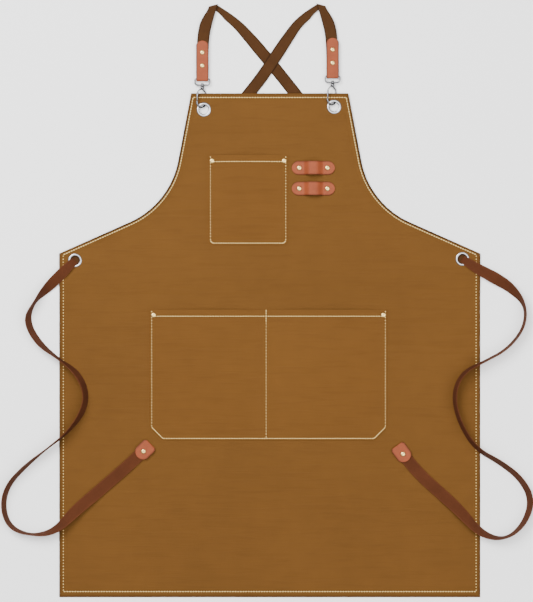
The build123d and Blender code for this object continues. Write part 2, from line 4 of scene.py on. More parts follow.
import bmesh
import bpy
import numpy as np
from bpy.props import FloatProperty, FloatVectorProperty, PointerProperty
from bpy.types import Operator, Panel, PropertyGroup
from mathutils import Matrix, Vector


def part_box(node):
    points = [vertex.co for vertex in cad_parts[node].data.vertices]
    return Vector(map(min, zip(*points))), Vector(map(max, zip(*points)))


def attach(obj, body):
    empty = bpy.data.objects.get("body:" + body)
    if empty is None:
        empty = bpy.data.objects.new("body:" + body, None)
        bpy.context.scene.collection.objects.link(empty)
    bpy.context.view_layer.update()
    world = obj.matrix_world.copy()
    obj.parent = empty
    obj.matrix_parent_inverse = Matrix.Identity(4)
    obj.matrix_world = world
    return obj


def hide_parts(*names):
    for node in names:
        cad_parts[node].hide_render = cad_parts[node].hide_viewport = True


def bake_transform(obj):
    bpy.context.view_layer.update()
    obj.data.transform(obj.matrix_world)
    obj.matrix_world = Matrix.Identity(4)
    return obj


bl_info = {
    "name": "Butcher Apron",
    "version": (1, 0, 0),
    "blender": (4, 5, 0),
    "location": "View3D > Sidebar > Apron",
    "description": "Builds a waxed cloth apron with riveted leather, snap hooks and crossed straps",
    "category": "Object",
}

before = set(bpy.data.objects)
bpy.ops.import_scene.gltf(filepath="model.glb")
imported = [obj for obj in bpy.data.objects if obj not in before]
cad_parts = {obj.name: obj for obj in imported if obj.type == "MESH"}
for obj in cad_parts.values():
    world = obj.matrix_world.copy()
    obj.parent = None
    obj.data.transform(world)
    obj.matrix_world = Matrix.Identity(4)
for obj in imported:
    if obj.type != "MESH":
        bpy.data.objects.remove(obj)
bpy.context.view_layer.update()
MM = 0.001
SIDES = ("left", "right")
UP = np.array([0, 0, 1.0])

# Axes of a turned piece: two ways square to the turning axis, then the axis
TURNED_ON_Z = ((1, 0, 0), (0, 1, 0), (0, 0, 1))
TURNED_ON_Y = ((1, 0, 0), (0, 0, -1), (0, 1, 0))

# Cloth
SHEET = 0.8 * MM
CLOTH_STEPS_Y = np.array([35.0, 70.0, 299.0, 329.0]) * MM
BACK_LEVELS = np.array([1.8, 3.8, 4.8]) * MM
ARMHOLE_CORNER = np.array([166.5, 189.0]) * MM
ARMHOLE_RADIUS = 140.0 * MM
BIB_HALF_WIDTH = 131.0 * MM
WAIST_CORNER_Y = 107.0 * MM
BEND_END_Y = 0.215
HOLE_RADIUS = 7.9 * MM
POCKETS = ("chest_pocket", "lower_pocket")
POCKET_SHEET = 0.9 * MM
POCKET_CORNER = {"chest_pocket": 7.0 * MM, "lower_pocket": 22.0 * MM}
DIVIDER_X = -6.0 * MM

# Close stitches: their pitch and length along the hems and on the pockets
HEM_STITCH = (4.4 * MM, 4.0 * MM)
POCKET_STITCH = (4.2 * MM, 3.8 * MM)

# Straps: the same routes as the solids, in metres, with the height of the strap's middle
FRONT_ROUTES = {
    "left": [(-0.1123, 0.4078), (-0.1123, 0.4550), (-0.1075, 0.4890), (-0.0980, 0.5180)],
    "right": [(0.1047, 0.4124), (0.1042, 0.4580), (0.0990, 0.4900), (0.0895, 0.5195)],
}
BACK_ROUTES = {
    "left": [
        (-0.0940, 0.5185, 0.00065),
        (-0.0620, 0.4980, 0.00065),
        (-0.0290, 0.4620, 0.00065),
        (0.0420, 0.3760, 0.00065),
        (0.1120, 0.2800, 0.00065),
        (0.1460, 0.2080, 0.00065),
        (0.2000, 0.1520, 0.00065),
        (0.2620, 0.1210, 0.00065),
        (0.3211, 0.0980, 0.00065),
    ],
    "right": [
        (0.0860, 0.5200, 0.00205),
        (0.0540, 0.5000, 0.00205),
        (0.0290, 0.4650, 0.00205),
        (-0.0100, 0.4050, 0.00205),
        (-0.0330, 0.3760, 0.00065),
        (-0.1080, 0.2800, 0.00065),
        (-0.1460, 0.2080, 0.00065),
        (-0.2010, 0.1520, 0.00065),
        (-0.2640, 0.1210, 0.00065),
        (-0.3246, 0.0955, 0.00065),
    ],
}
# x, y, height of the middle, lean from flat in degrees, half width
TAIL_ROUTES = {
    "left": [
        (-0.3246, 0.0955, 0.0022, 0, 0.0062),
        (-0.3300, 0.0901, 0.0078, 0, 0.0070),
        (-0.3430, 0.0770, 0.0080, 4, 0.0088),
        (-0.3640, 0.0560, 0.0068, 30, 0.0095),
        (-0.3920, 0.0270, 0.0108, 86, 0.0100),
        (-0.4060, -0.0050, 0.0096, 62, 0.0100),
        (-0.3850, -0.0430, 0.0095, 64, 0.0100),
        (-0.3500, -0.0690, 0.0128, 86, 0.0100),
        (-0.3190, -0.0920, 0.0122, 66, 0.0100),
        (-0.3040, -0.1270, 0.0124, 68, 0.0100),
        (-0.3120, -0.1600, 0.0122, 66, 0.0100),
        (-0.3380, -0.1930, 0.0128, 80, 0.0100),
        (-0.3720, -0.2190, 0.0114, 86, 0.0100),
        (-0.4060, -0.2460, 0.0100, 74, 0.0100),
        (-0.4370, -0.2790, 0.0100, 70, 0.0100),
        (-0.4450, -0.3160, 0.0102, 72, 0.0100),
        (-0.4320, -0.3500, 0.0106, 76, 0.0100),
        (-0.3960, -0.3625, 0.0112, 88, 0.0100),
        (-0.3570, -0.3560, 0.0115, 58, 0.0100),
        (-0.3240, -0.3220, 0.0070, 20, 0.0100),
        (-0.2850, -0.2890, 0.0050, 0, 0.0100),
        (-0.2570, -0.2650, 0.0049, 0, 0.0100),
        (-0.2290, -0.2400, 0.00485, 0, 0.0100),
        (-0.2030, -0.2150, 0.00485, 0, 0.0100),
    ],
    "right": [
        (0.3211, 0.0980, 0.0022, 0, 0.0062),
        (0.3275, 0.0936, 0.0078, 0, 0.0070),
        (0.3450, 0.0820, 0.0080, 4, 0.0088),
        (0.3720, 0.0680, 0.0072, 8, 0.0100),
        (0.4020, 0.0500, 0.0090, 42, 0.0100),
        (0.4260, 0.0210, 0.0110, 84, 0.0100),
        (0.4240, -0.0160, 0.0110, 84, 0.0100),
        (0.3960, -0.0520, 0.0112, 84, 0.0100),
        (0.3560, -0.0730, 0.0132, 84, 0.0100),
        (0.3200, -0.0910, 0.0132, 78, 0.0100),
        (0.3050, -0.1270, 0.0130, 76, 0.0100),
        (0.3140, -0.1720, 0.0130, 76, 0.0100),
        (0.3420, -0.2180, 0.0128, 72, 0.0100),
        (0.3830, -0.2400, 0.0112, 66, 0.0100),
        (0.4180, -0.2670, 0.0102, 64, 0.0100),
        (0.4370, -0.3030, 0.0102, 64, 0.0100),
        (0.4240, -0.3430, 0.0106, 74, 0.0100),
        (0.3930, -0.3695, 0.0112, 88, 0.0100),
        (0.3520, -0.3610, 0.0118, 54, 0.0100),
        (0.3160, -0.3210, 0.0070, 20, 0.0100),
        (0.2810, -0.2890, 0.0050, 0, 0.0100),
        (0.2560, -0.2670, 0.0049, 0, 0.0100),
        (0.2340, -0.2430, 0.00485, 0, 0.0100),
        (0.2150, -0.2180, 0.00485, 0, 0.0100),
    ],
}
WEB = 1.3 * MM
FOLD_ANGLE = 15.0
FOLD_STEPS = 11
TAB_TO_EYE_SEAM = 0.485
EYE_TO_HOOK_SEAM = 0.505
PAST_HOLE = 8.0 * MM
LEAN_REACH = 18.0 * MM
CORNER_REACH = 36.0 * MM
NARROW_REACH = 0.11
PULL_IN = 0.34

# Leather: x, y and heading of each tail's leather tip, and thicknesses
END_TIPS = {"left": (-0.1985, -0.2110, 44.0), "right": (0.2122, -0.2136, 126.0)}
END_RIVET_BACK = 16.5 * MM
END_HALF_WIDTH = 13.0 * MM
END_LENGTH = 30.0 * MM
LEATHER = 1.6 * MM
LOOP_LEATHER = 2.0 * MM
CAP_RADIUS = 4.2 * MM
TAB_CAP_RADIUS = 3.9 * MM
SHANK_RADIUS = 1.5 * MM

# Snap hook: lean of its wire's plane, and its stem's height and place beside the grommet's centre
HOOK_TILT = 36.0
STEM_Z = 5.2 * MM
STEM_OFFSET_X = -2.5 * MM
HOOK_RISE_START = 27.8 * MM
EYE_WIRE = 1.25 * MM

# Camera
CAMERA_PLACE = (-5.4 * MM, 27.9 * MM, 3.766)
CAMERA_LENS = 135


# ---------------------------------------------------------------- shapes


def smooth(value):
    """Smooth step: 0 below 0, 1 above 1, and 3t^2 - 2t^3 between."""
    t = np.clip(value, 0.0, 1.0)
    return t * t * (3 - 2 * t)


def in_mm(*rows):
    """Numbers in millimetres as an array in metres."""
    return np.array(rows, float) * MM


def unit(vectors):
    """Vectors scaled to length 1."""
    return vectors / np.linalg.norm(vectors, axis=-1, keepdims=True)


def along_line(line):
    """Distance from a line's start to each of its points."""
    return np.concatenate([[0], np.cumsum(np.linalg.norm(np.diff(line, axis=0), axis=1))])


def circles(first, second, sides):
    """Points round a circle, cos(t) times first plus sin(t) times second, for each row of the two."""
    angle = np.linspace(0, 2 * np.pi, sides, endpoint=False)[:, None]
    return np.cos(angle) * first[..., None, :] + np.sin(angle) * second[..., None, :]


def middle_of(node):
    """Middle of a node's footprint."""
    low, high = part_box(node)
    return (low[0] + high[0]) / 2, (low[1] + high[1]) / 2


def put_mesh(name, points, faces, material, sharp=None):
    """A new object at the origin from an array of points and a list of faces, smooth shaded.
    Its name ends in _look, which sets it apart from the node it stands for."""
    name = f"{name}_look"
    mesh = bpy.data.meshes.new(name)
    mesh.from_pydata(points.reshape(-1, 3), [], faces)
    mesh.validate()
    mesh.shade_smooth()
    if sharp is not None:
        mesh.set_sharp_from_angle(angle=math.radians(sharp))
    mesh.materials.append(material)
    made = bpy.data.objects.new(name, mesh)
    bpy.context.scene.collection.objects.link(made)
    return made


def grid_faces(rows, columns, start=0, close_rows=False, close_columns=False):
    """Quads between neighbours of a rows by columns grid whose points are numbered row by row from start."""
    number = start + np.arange(rows * columns).reshape(rows, columns)
    if close_rows:
        number = np.vstack([number, number[:1]])
    if close_columns:
        number = np.hstack([number, number[:, :1]])
    corners = (number[:-1, :-1], number[:-1, 1:], number[1:, 1:], number[1:, :-1])
    return np.stack(corners, axis=-1).reshape(-1, 4)


def set_point_values(made, name, values):
    """Stores one number for each point of a mesh under that name."""
    attribute = made.data.attributes.new(name, "FLOAT", "POINT")
    attribute.data.foreach_set("value", np.asarray(values, np.float32).ravel())


def set_uv(made, uv):
    """Gives each point's (u, v) to every face corner at that point."""
    layer = made.data.uv_layers.new(name="UVMap")
    corner = np.zeros(len(made.data.loops), np.int32)
    made.data.loops.foreach_get("vertex_index", corner)
    layer.data.foreach_set("uv", np.asarray(uv, np.float32).reshape(-1, 2)[corner].ravel())


def two_faced_sheet(name, top, bottom, material, sharp=40):
    """A closed sheet: the grid top, the same grid bottom turned over, and a wall joining their four sides."""
    rows, columns = top.shape[:2]
    count = rows * columns
    upper = grid_faces(rows, columns)
    lower = grid_faces(rows, columns, count)[:, ::-1]
    number = np.arange(count).reshape(rows, columns)
    ring = np.concatenate([number[0, :], number[1:, -1], number[-1, -2::-1], number[-2:0:-1, 0]])
    after = np.roll(ring, -1)
    wall = np.stack([after, ring, ring + count, after + count], axis=1)
    points = np.concatenate([top.reshape(-1, 3), bottom.reshape(-1, 3)])
    faces = np.concatenate([upper, lower, wall]).tolist()
    return put_mesh(name, points, faces, material, sharp)


def band(name, middle, across, normal, half, thick, material, sharp=None):
    """A strap or strip of leather: at each point of its middle line a flat section with rounded sides,
    half wide each way along across and thick along normal. It stores how near its side a point is,
    and a UV map of the distance across and the distance along."""
    corner = np.radians(np.linspace(-90, 90, 7))
    right = np.stack([np.cos(corner), np.sin(corner)], axis=1)
    flats = np.linspace(0.8, -0.8, 5)
    section = [(1, w, h) for w, h in right]
    section += [(0, w, 1.0) for w in flats]
    section += [(-1, -w, -h) for w, h in right]
    section += [(0, -w, -1.0) for w in flats]
    side, wide, high = np.array(section).T
    rows, columns = len(middle), len(section)
    half = np.broadcast_to(half, rows)[:, None]
    round_side = np.minimum(0.5 * thick, half * 0.9)
    inner = half - round_side
    out = np.where(side == 0, wide * inner, side * inner + wide * round_side)
    up = np.broadcast_to(high * 0.5 * thick, out.shape)
    points = middle[:, None] + out[..., None] * across[:, None] + up[..., None] * normal[:, None]
    faces = grid_faces(rows, columns, close_columns=True).tolist()
    faces += [list(range(columns))[::-1], list(range((rows - 1) * columns, rows * columns))]
    made = put_mesh(name, points, faces, material, sharp)
    near_side = smooth((np.abs(out) / half - 0.72) / 0.28)
    set_point_values(made, "side", near_side)
    set_uv(made, np.stack([out, np.broadcast_to(along_line(middle)[:, None], out.shape)], axis=-1))
    return made


def frames_along(path):
    """Two unit vectors square to a line at each of its points, turned as little as possible."""
    tangent = unit(np.gradient(path, axis=0))
    start = UP if abs(tangent[0, 2]) < 0.9 else np.array([1.0, 0.0, 0.0])
    first = [start - tangent[0] * (start @ tangent[0])]
    for way in tangent[1:]:
        first.append(first[-1] - way * (first[-1] @ way))
    first = unit(np.array(first))
    return first, np.cross(tangent, first)


def rod(name, path, radius, material, sides=16):
    """A round rod along a line: a circle of the given radius at each point, and closed ends."""
    points = path[:, None] + circles(*frames_along(path), sides) * radius[:, None, None]
    faces = grid_faces(len(path), sides, close_columns=True)[:, ::-1].tolist()
    faces += [list(range(sides)), list(range((len(path) - 1) * sides, len(path) * sides))[::-1]]
    return put_mesh(name, points, faces, material, 60)


def turned(name, profile, places, axes, material, sides=40):
    """Turned pieces: the profile (radius, height) carried round an axis through each place.
    axes holds the two unit vectors square to the turning axis, and the axis itself."""
    radius, height = np.array(profile, float).T[..., None, None]
    first, second, up = np.array(axes, float)
    shape = radius * circles(first, second, sides) + height * up
    points = np.array(places)[:, None, None, :] + shape[None]
    rows = len(profile)
    closed = profile[0][0] > 0 and profile[-1][0] > 0
    faces = []
    for k in range(len(places)):
        faces += grid_faces(rows, sides, k * rows * sides, close_rows=closed, close_columns=True).tolist()
    made = put_mesh(name, points, faces, material, 50)
    tidy_surface(made)
    return made


def tidy_surface(made):
    """Merges points that lie on one another and turns every face outwards."""
    work = bmesh.new()
    work.from_mesh(made.data)
    bmesh.ops.remove_doubles(work, verts=work.verts, dist=1e-6)
    bmesh.ops.recalc_face_normals(work, faces=work.faces)
    work.to_mesh(made.data)
    work.free()


def join(name, pieces):
    """One object from several that share a material."""
    bpy.ops.object.select_all(action="DESELECT")
    for piece in pieces:
        piece.select_set(True)
    bpy.context.view_layer.objects.active = pieces[0]
    bpy.ops.object.join()
    made = bpy.context.view_layer.objects.active
    made.name = made.data.name = f"{name}_look"
    made.select_set(False)
    return made


def spline_points(route, resolution=10):
    """Points read from a smooth NURBS spline whose control points are the route."""
    curve = bpy.data.curves.new("route", "CURVE")
    curve.dimensions = "3D"
    spline = curve.splines.new("NURBS")
    spline.points.add(len(route) - 1)
    for point, place in zip(spline.points, route):
        point.co = (*place[:3], 1.0)
    spline.order_u = 3
    spline.use_endpoint_u = True
    spline.resolution_u = resolution
    holder = bpy.data.objects.new("route", curve)
    mesh = bpy.data.meshes.new_from_object(holder)
    points = np.array([v.co for v in mesh.vertices], float)
    bpy.data.objects.remove(holder)
    bpy.data.meshes.remove(mesh)
    bpy.data.curves.remove(curve)
    return points


def even(points, step):
    """The line again, with its points an even step apart."""
    along = along_line(points)
    at = np.linspace(0, along[-1], max(3, math.ceil(along[-1] / step) + 1))
    return np.stack([np.interp(at, along, points[:, k]) for k in range(3)], axis=1)


# ---------------------------------------------------------------- heights of the cloth


def back_height(y):
    """Height of the cloth's back: low over the skirt, then two smooth steps up over straps and hooks."""
    low, middle, high = BACK_LEVELS
    first_start, first_end, second_start, second_end = CLOTH_STEPS_Y
    rise = smooth((y - first_start) / (first_end - first_start))
    top = smooth((y - second_start) / (second_end - second_start))
    return low + (middle - low) * rise + (high - middle) * top


def armhole_line():
    """Points down the right armhole: a straight run, an arc tangent to both runs, and a straight run."""
    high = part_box("apron_panel")[1]
    top = np.array([BIB_HALF_WIDTH, high[1]])
    waist = np.array([high[0], WAIST_CORNER_Y])
    way_in, way_out = unit(ARMHOLE_CORNER - top), unit(waist - ARMHOLE_CORNER)
    turn = math.acos(float(way_in @ way_out))
    start = ARMHOLE_CORNER - way_in * ARMHOLE_RADIUS * math.tan(turn / 2)
    centre = start + ARMHOLE_RADIUS * np.array([-way_in[1], way_in[0]])
    (out_x, out_y), angle = start - centre, np.linspace(0, turn, 40)
    arc_x = centre[0] + out_x * np.cos(angle) - out_y * np.sin(angle)
    arc_y = centre[1] + out_x * np.sin(angle) + out_y * np.cos(angle)
    return np.vstack([top, np.column_stack([arc_x, arc_y]), waist])


def outline():
    """The apron's outline as one closed line of points, anticlockwise from the bottom right corner."""
    low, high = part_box("apron_panel")
    right = np.vstack([[high[0], low[1]], armhole_line()[::-1]])
    return np.vstack([right, right[::-1] * [-1, 1]])


def distance_to_line(points, line):
    """Least distance of each (x, y) point to a closed line of straight runs."""
    best = np.full(len(points), np.inf)
    for a, b in zip(line, np.roll(line, -1, axis=0)):
        run = b - a
        t = np.clip(((points - a) @ run) / (run @ run), 0, 1)
        best = np.minimum(best, np.linalg.norm(points - a - t[:, None] * run, axis=1))
    return best


def inside_box(x, y, node, margin):
    """1 well inside a node's footprint and 0 beyond margin outside it, smooth between."""
    low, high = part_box(node)
    gap_x = np.maximum(np.maximum(low[0] - x, x - high[0]), 0)
    gap_y = np.maximum(np.maximum(low[1] - y, y - high[1]), 0)
    return 1 - smooth(np.hypot(gap_x, gap_y) / margin)


def crease(x, y):
    """Soft horizontal creases: two sine waves across the cloth whose phase wanders from side to side,
    strongest on the open skirt, and none under the pockets, loops and straps."""
    wander = 1.9 * np.sin(x / 0.11 + 0.7) + 0.8 * np.sin(x / 0.047)
    wave = np.sin(y / 0.0061 + wander) + 0.7 * np.sin(y / 0.0147 - 1.3 * wander + 2.0)
    patch = 0.5 + 0.5 * np.sin(x / 0.083 + y / 0.061) * np.sin(y / 0.097 - x / 0.19 + 1.1)
    quiet = np.ones_like(x)
    for node in (*POCKETS, "tool_loop_upper", "tool_loop_lower"):
        quiet = quiet * (1 - inside_box(x, y, node, 0.025))
    return 0.10 * MM * wave * patch * quiet


def cloth_front(x, y, edge):
    """Height of the cloth's front, with creases, and a hem pulled in a little at its stitch line."""
    hem = bpy.context.scene.apron_sizes.hem_width
    puff = 0.35 * MM * np.sin(np.pi * np.clip(edge / hem, 0, 1))
    seam = 0.35 * MM * np.exp(-(((edge - hem) / (1.6 * MM)) ** 2))
    rolled = 1.5 * MM * (1 - smooth(edge / (2.6 * MM)))
    return back_height(y) + SHEET + crease(x, y) + puff - seam - rolled


def pocket_edges(name, y):
    """Left and right edges of a pocket at height y up the cloth: rounded or cut-off bottom corners."""
    low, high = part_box(name)
    corner = POCKET_CORNER[name]
    short = np.clip(corner - (y - low[1]), 0, corner)
    if name == "chest_pocket":
        short = corner - np.sqrt(corner**2 - short**2)
    return low[0] + short, high[0] - short


def pocket_lift(name, x, y):
    """How far a pocket's front stands off the cloth: each bay swells smoothly from its stitched sides
    and bottom, most at its open mouth."""
    low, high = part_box(name)
    seam = 6 * MM
    ends = [low[0], DIVIDER_X, high[0]] if name == "lower_pocket" else [low[0], high[0]]
    swell = 0
    for left, right in zip(ends, ends[1:]):
        middle, reach = (left + right) / 2, (right - left) / 2 - seam
        swell = swell + smooth(1 - np.abs(x - middle) / reach) ** 0.55
    up = y - low[1] - seam
    climb = smooth(up / (0.55 * (high[1] - low[1])))
    return 5.0 * MM * swell * (0.25 + 0.75 * climb) * smooth(up / (30 * MM))


def pocket_front(name, x, y):
    """Height of a pocket's outer face, with its mouth hem a little thicker."""
    low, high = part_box(name)
    mouth = high[1] - y
    hem = 0.4 * MM * smooth((12 * MM - mouth) / (1.2 * MM))
    wrinkle = 0.12 * MM * np.sin(y / 0.0083 + 1.7 * np.sin(x / 0.06))
    return low[2] + POCKET_SHEET + pocket_lift(name, x, y) + hem + wrinkle * smooth(mouth / 0.03)


# ---------------------------------------------------------------- materials


def group(name, amount, default, output):
    """A shader node group that takes a vector and one named amount, and its two end nodes."""
    made = bpy.data.node_groups.new(name, "ShaderNodeTree")
    made.interface.new_socket("Vector", in_out="INPUT", socket_type="NodeSocketVector")
    made.interface.new_socket(amount, in_out="INPUT", socket_type="NodeSocketFloat").default_value = default
    made.interface.new_socket(output, in_out="OUTPUT", socket_type="NodeSocketFloat")
    return made, made.nodes.new("NodeGroupInput"), made.nodes.new("NodeGroupOutput")


def node(tree, kind, sockets, **settings):
    """A new node with its own settings. Each named socket is linked to an output, or given a value."""
    made = tree.nodes.new(f"ShaderNode{kind}")
    for key, value in settings.items():
        setattr(made, key, value)
    for socket, source in sockets.items():
        if isinstance(source, bpy.types.NodeSocket):
            tree.links.new(source, made.inputs[socket])
        else:
            made.inputs[socket].default_value = source
    return made


def mottle_group():
    """Cloudy variation: a wide noise and one seven times finer, mixed."""
    made, start, end = group("Mottle", "Scale", 12.0, "Factor")
    vector, scale = start.outputs["Vector"], start.outputs["Scale"]
    finer = node(made, "Math", {0: scale, 1: 7.0}, operation="MULTIPLY").outputs[0]
    wide = node(made, "TexNoise", {"Vector": vector, "Scale": scale, "Detail": 5.0})
    fine = node(made, "TexNoise", {"Vector": vector, "Scale": finer, "Detail": 3.0})
    both = node(made, "Mix", {0: 0.35, 2: wide.outputs["Fac"], 3: fine.outputs["Fac"]})
    made.links.new(both.outputs[0], end.inputs["Factor"])
    return made


def weave_group():
    """Woven threads: two sets of fine waves, one across the other, added together."""
    made, start, end = group("Weave", "Threads", 300.0, "Height")
    sockets = {"Vector": start.outputs["Vector"], "Scale": start.outputs["Threads"], "Distortion": 0.6}
    waves = [node(made, "TexWave", sockets, bands_direction=way).outputs["Fac"] for way in ("X", "Y")]
    both = node(made, "Math", {0: waves[0], 1: waves[1]}, operation="ADD")
    made.links.new(both.outputs[0], end.inputs["Height"])
    return made


GROUPS = {}


def pattern(tree, name, vector, amount):
    """Output of a shared group, which is built the first time it is asked for."""
    if name not in GROUPS:
        GROUPS[name] = {"Mottle": mottle_group, "Weave": weave_group}[name]()
    return node(tree, "Group", {0: vector, 1: amount}, node_tree=GROUPS[name]).outputs[0]


MATERIALS = {}


def base_material(name, colour, roughness, metallic=0.0, specular=0.5):
    """A material with its Principled shader's own sockets set, and its node tree and shader."""
    made = bpy.data.materials.new(name)
    made.use_nodes = True
    shader = made.node_tree.nodes["Principled BSDF"]
    shader.inputs["Base Color"].default_value = (*colour, 1.0)
    shader.inputs["Roughness"].default_value = roughness
    shader.inputs["Metallic"].default_value = metallic
    shader.inputs["Specular IOR Level"].default_value = specular
    MATERIALS[name] = made
    return made.node_tree, shader


def object_place(tree):
    """Place on the piece, in metres from the object's origin."""
    return node(tree, "TexCoord", {}).outputs["Object"]


def tint(colour, factor):
    """A colour made lighter or darker by a factor."""
    return tuple(min(1.0, c * factor) for c in colour)


def mixed_colour(tree, factor, low, high, blend="MIX"):
    """From low to high by a factor that changes over the surface. Each is a colour or an output."""
    first, second = ((*end, 1.0) if isinstance(end, tuple) else end for end in (low, high))
    sockets = {"Factor": factor, "A": first, "B": second}
    return node(tree, "Mix", sockets, data_type="RGBA", blend_type=blend).outputs["Result"]


def spread_factor(tree, source, low, high):
    """Stretches a factor so that low becomes 0 and high becomes 1."""
    return node(tree, "MapRange", {"Value": source, "From Min": low, "From Max": high}).outputs["Result"]


def cloudy(tree, vector, scale, colour, dark, light):
    """The colour, from a darker to a lighter tint of it, in clouds."""
    cloud = spread_factor(tree, pattern(tree, "Mottle", vector, scale), 0.3, 0.7)
    return mixed_colour(tree, cloud, tint(colour, dark), tint(colour, light))


def side_shade(tree, tone, edge, blend="MULTIPLY"):
    """The tone changed by the edge colour as far as the side value that each point holds."""
    side = node(tree, "Attribute", {}, attribute_name="side").outputs["Fac"]
    return mixed_colour(tree, side, tone, edge, blend)


def bump(tree, shader, height, distance, strength):
    """Turns a height into a shading normal."""
    made = node(tree, "Bump", {"Distance": distance, "Strength": strength, "Height": height})
    tree.links.new(made.outputs["Normal"], shader.inputs["Normal"])


def cloth_material(name, colour):
    """Waxed canvas: cloudy brown, a fine weave, and faint crease lines that run across with painted shade in
    them, and painted shadow by the side value.
    """
    tree, shader = base_material(name, colour, 0.78, specular=0.08)
    place = object_place(tree)
    tone = cloudy(tree, place, 5.0, colour, 0.93, 1.07)
    stretch = node(tree, "Mapping", {"Vector": place, "Scale": (12.0, 150.0, 1.0)}).outputs["Vector"]
    noise = {"Vector": stretch, "Scale": 1.0, "Detail": 4.0, "Distortion": 0.8}
    crease_lines = node(tree, "TexNoise", noise).outputs["Fac"]
    # the crease lines darken the tone a little: painted shade in the creases
    crease_shaded = mixed_colour(tree, spread_factor(tree, crease_lines, 0.5, 0.8), tone, (0.90, 0.89, 0.87), "MULTIPLY")
    # the cloth is multiplied towards (0.10, 0.08, 0.07) as far as its side value: painted shadow along the
    # armholes and hem edges
    tree.links.new(side_shade(tree, crease_shaded, (0.10, 0.08, 0.07)), shader.inputs["Base Color"])
    weave = pattern(tree, "Weave", place, 420.0)
    share = node(tree, "Math", {0: weave, 1: 0.12}, operation="MULTIPLY").outputs[0]
    total = node(tree, "Math", {0: share, 1: crease_lines}, operation="ADD").outputs[0]
    bump(tree, shader, total, 0.0007, 0.6)


def webbing_material(name, colour, edge):
    """Flat woven strap: close ribs across it, and sides of another tone; the tails' lighter sides are a
    painted highlight.
    """
    tree, shader = base_material(name, colour, 0.9, specular=0.08)
    uv = node(tree, "UVMap", {}, uv_map="UVMap").outputs["UV"]
    tone = cloudy(tree, uv, 30.0, colour, 0.85, 1.15)
    tree.links.new(side_shade(tree, tone, (edge, edge, edge)), shader.inputs["Base Color"])
    bump(tree, shader, pattern(tree, "Weave", uv, 260.0), 0.0002, 0.6)


def leather_material(name, colour):
    """Reddish leather: fine grain, cloudy tone, and darker sides."""
    tree, shader = base_material(name, colour, 0.6, specular=0.2)
    place = object_place(tree)
    tone = cloudy(tree, place, 60.0, colour, 0.86, 1.12)
    tree.links.new(side_shade(tree, tone, tint(colour, 0.45), "MIX"), shader.inputs["Base Color"])
    grain = node(tree, "TexVoronoi", {"Vector": place, "Scale": 1100.0})
    bump(tree, shader, grain.outputs["Distance"], 0.0002, 0.5)


def metal_material(name, colour, roughness):
    """Polished metal with faint uneven gloss."""
    tree, shader = base_material(name, colour, roughness, 1.0)
    cloud = pattern(tree, "Mottle", object_place(tree), 150.0)
    gloss = node(tree, "MapRange", {"Value": cloud, "To Min": roughness * 0.7, "To Max": roughness * 1.4})
    tree.links.new(gloss.outputs["Result"], shader.inputs["Roughness"])


def thread_material(name, colour):
    """Pale sewing thread."""
    tree, shader = base_material(name, colour, 0.6)
    cloud = pattern(tree, "Mottle", object_place(tree), 200.0)
    tone = mixed_colour(tree, cloud, tint(colour, 0.8), tint(colour, 1.1))
    tree.links.new(tone, shader.inputs["Base Color"])


# What makes each finish, its colour in the sidebar, and the maker's own value
FINISHES = {
    "Waxed Cloth": (cloth_material, "cloth"),
    "Pocket Cloth": (cloth_material, "pocket"),
    "Webbing": (webbing_material, "webbing", 0.4),
    # the tails' sides are 1.3 times lighter: a painted highlight along their edges
    "Tail Webbing": (webbing_material, "tail", 1.3),
    "Leather": (leather_material, "leather"),
    "Thread": (thread_material, "thread"),
    "Ring": (metal_material, "ring", 0.2),
    "Brass": (metal_material, "brass", 0.26),
    "Nickel": (metal_material, "nickel", 0.16),
}


def material(name):
    """A finish by name, made the first time it is asked for from the colours in the sidebar."""
    if name not in MATERIALS:
        maker, colour, *values = FINISHES[name]
        maker(name, tuple(getattr(bpy.context.scene.apron_colours, colour)), *values)
    return MATERIALS[name]


def keep(made, body, slot, *nodes):
    """Rides a finished piece on its body and lets it stand for its CAD nodes; slot is not used."""
    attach(made, body)
    if nodes:
        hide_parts(*nodes)
    return made


# ---------------------------------------------------------------- sizes and colours


def size_property(name, description, default):
    """A length in the sidebar, its default given in millimetres."""
    return FloatProperty(
        name=name, description=description, default=default * MM, subtype="DISTANCE", unit="LENGTH"
    )


def colour_property(name, description, *default):
    """A colour in the sidebar."""
    return FloatVectorProperty(name=name, description=description, subtype="COLOR", default=default)


class ApronSizes(PropertyGroup):
    """Sizes that can be changed without moving a piece off its solid."""

    hem_width: size_property("Hem Width", "Width of the turned hem", 11.0)
    side_inset: size_property("Side Inset", "Side edge to its stitches", 7.0)
    bottom_inset: size_property("Bottom Inset", "Bottom edge to its stitches", 9.5)
    top_inset: size_property("Top Inset", "Top edge to its stitches", 7.2)
    armhole_inset: size_property("Armhole Inset", "Armhole edge to its stitches", 4.8)
    stitch_pitch: size_property("Stitch Pitch", "Distance from stitch to stitch", 5.0)
    stitch_length: size_property("Stitch Length", "Length of one stitch", 2.4)
    thread: size_property("Thread", "Thickness of the sewing thread", 1.9)
    strap_half: size_property("Strap Half Width", "Half the width of the webbing", 10.0)


class ApronColours(PropertyGroup):
    """Base colours of the finishes."""

    cloth: colour_property("Cloth", "Colour of the apron cloth", 0.096, 0.0415, 0.0083)
    pocket: colour_property("Pockets", "Colour of the pocket cloth", 0.100, 0.0425, 0.0083)
    webbing: colour_property("Webbing", "Colour of the straps", 0.046, 0.0190, 0.0062)
    tail: colour_property("Tails", "Colour of the waist tails", 0.059, 0.0180, 0.0070)
    leather: colour_property("Leather", "Colour of the leather", 0.200, 0.041, 0.0120)
    thread: colour_property("Thread", "Colour of the stitching", 0.60, 0.42, 0.15)
    brass: colour_property("Rivets", "Colour of the rivets", 0.60, 0.44, 0.17)
    ring: colour_property("Grommets", "Colour of the grommets", 0.30, 0.30, 0.31)
    nickel: colour_property("Hooks", "Colour of the hooks", 0.15, 0.15, 0.157)


# ---------------------------------------------------------------- cloth


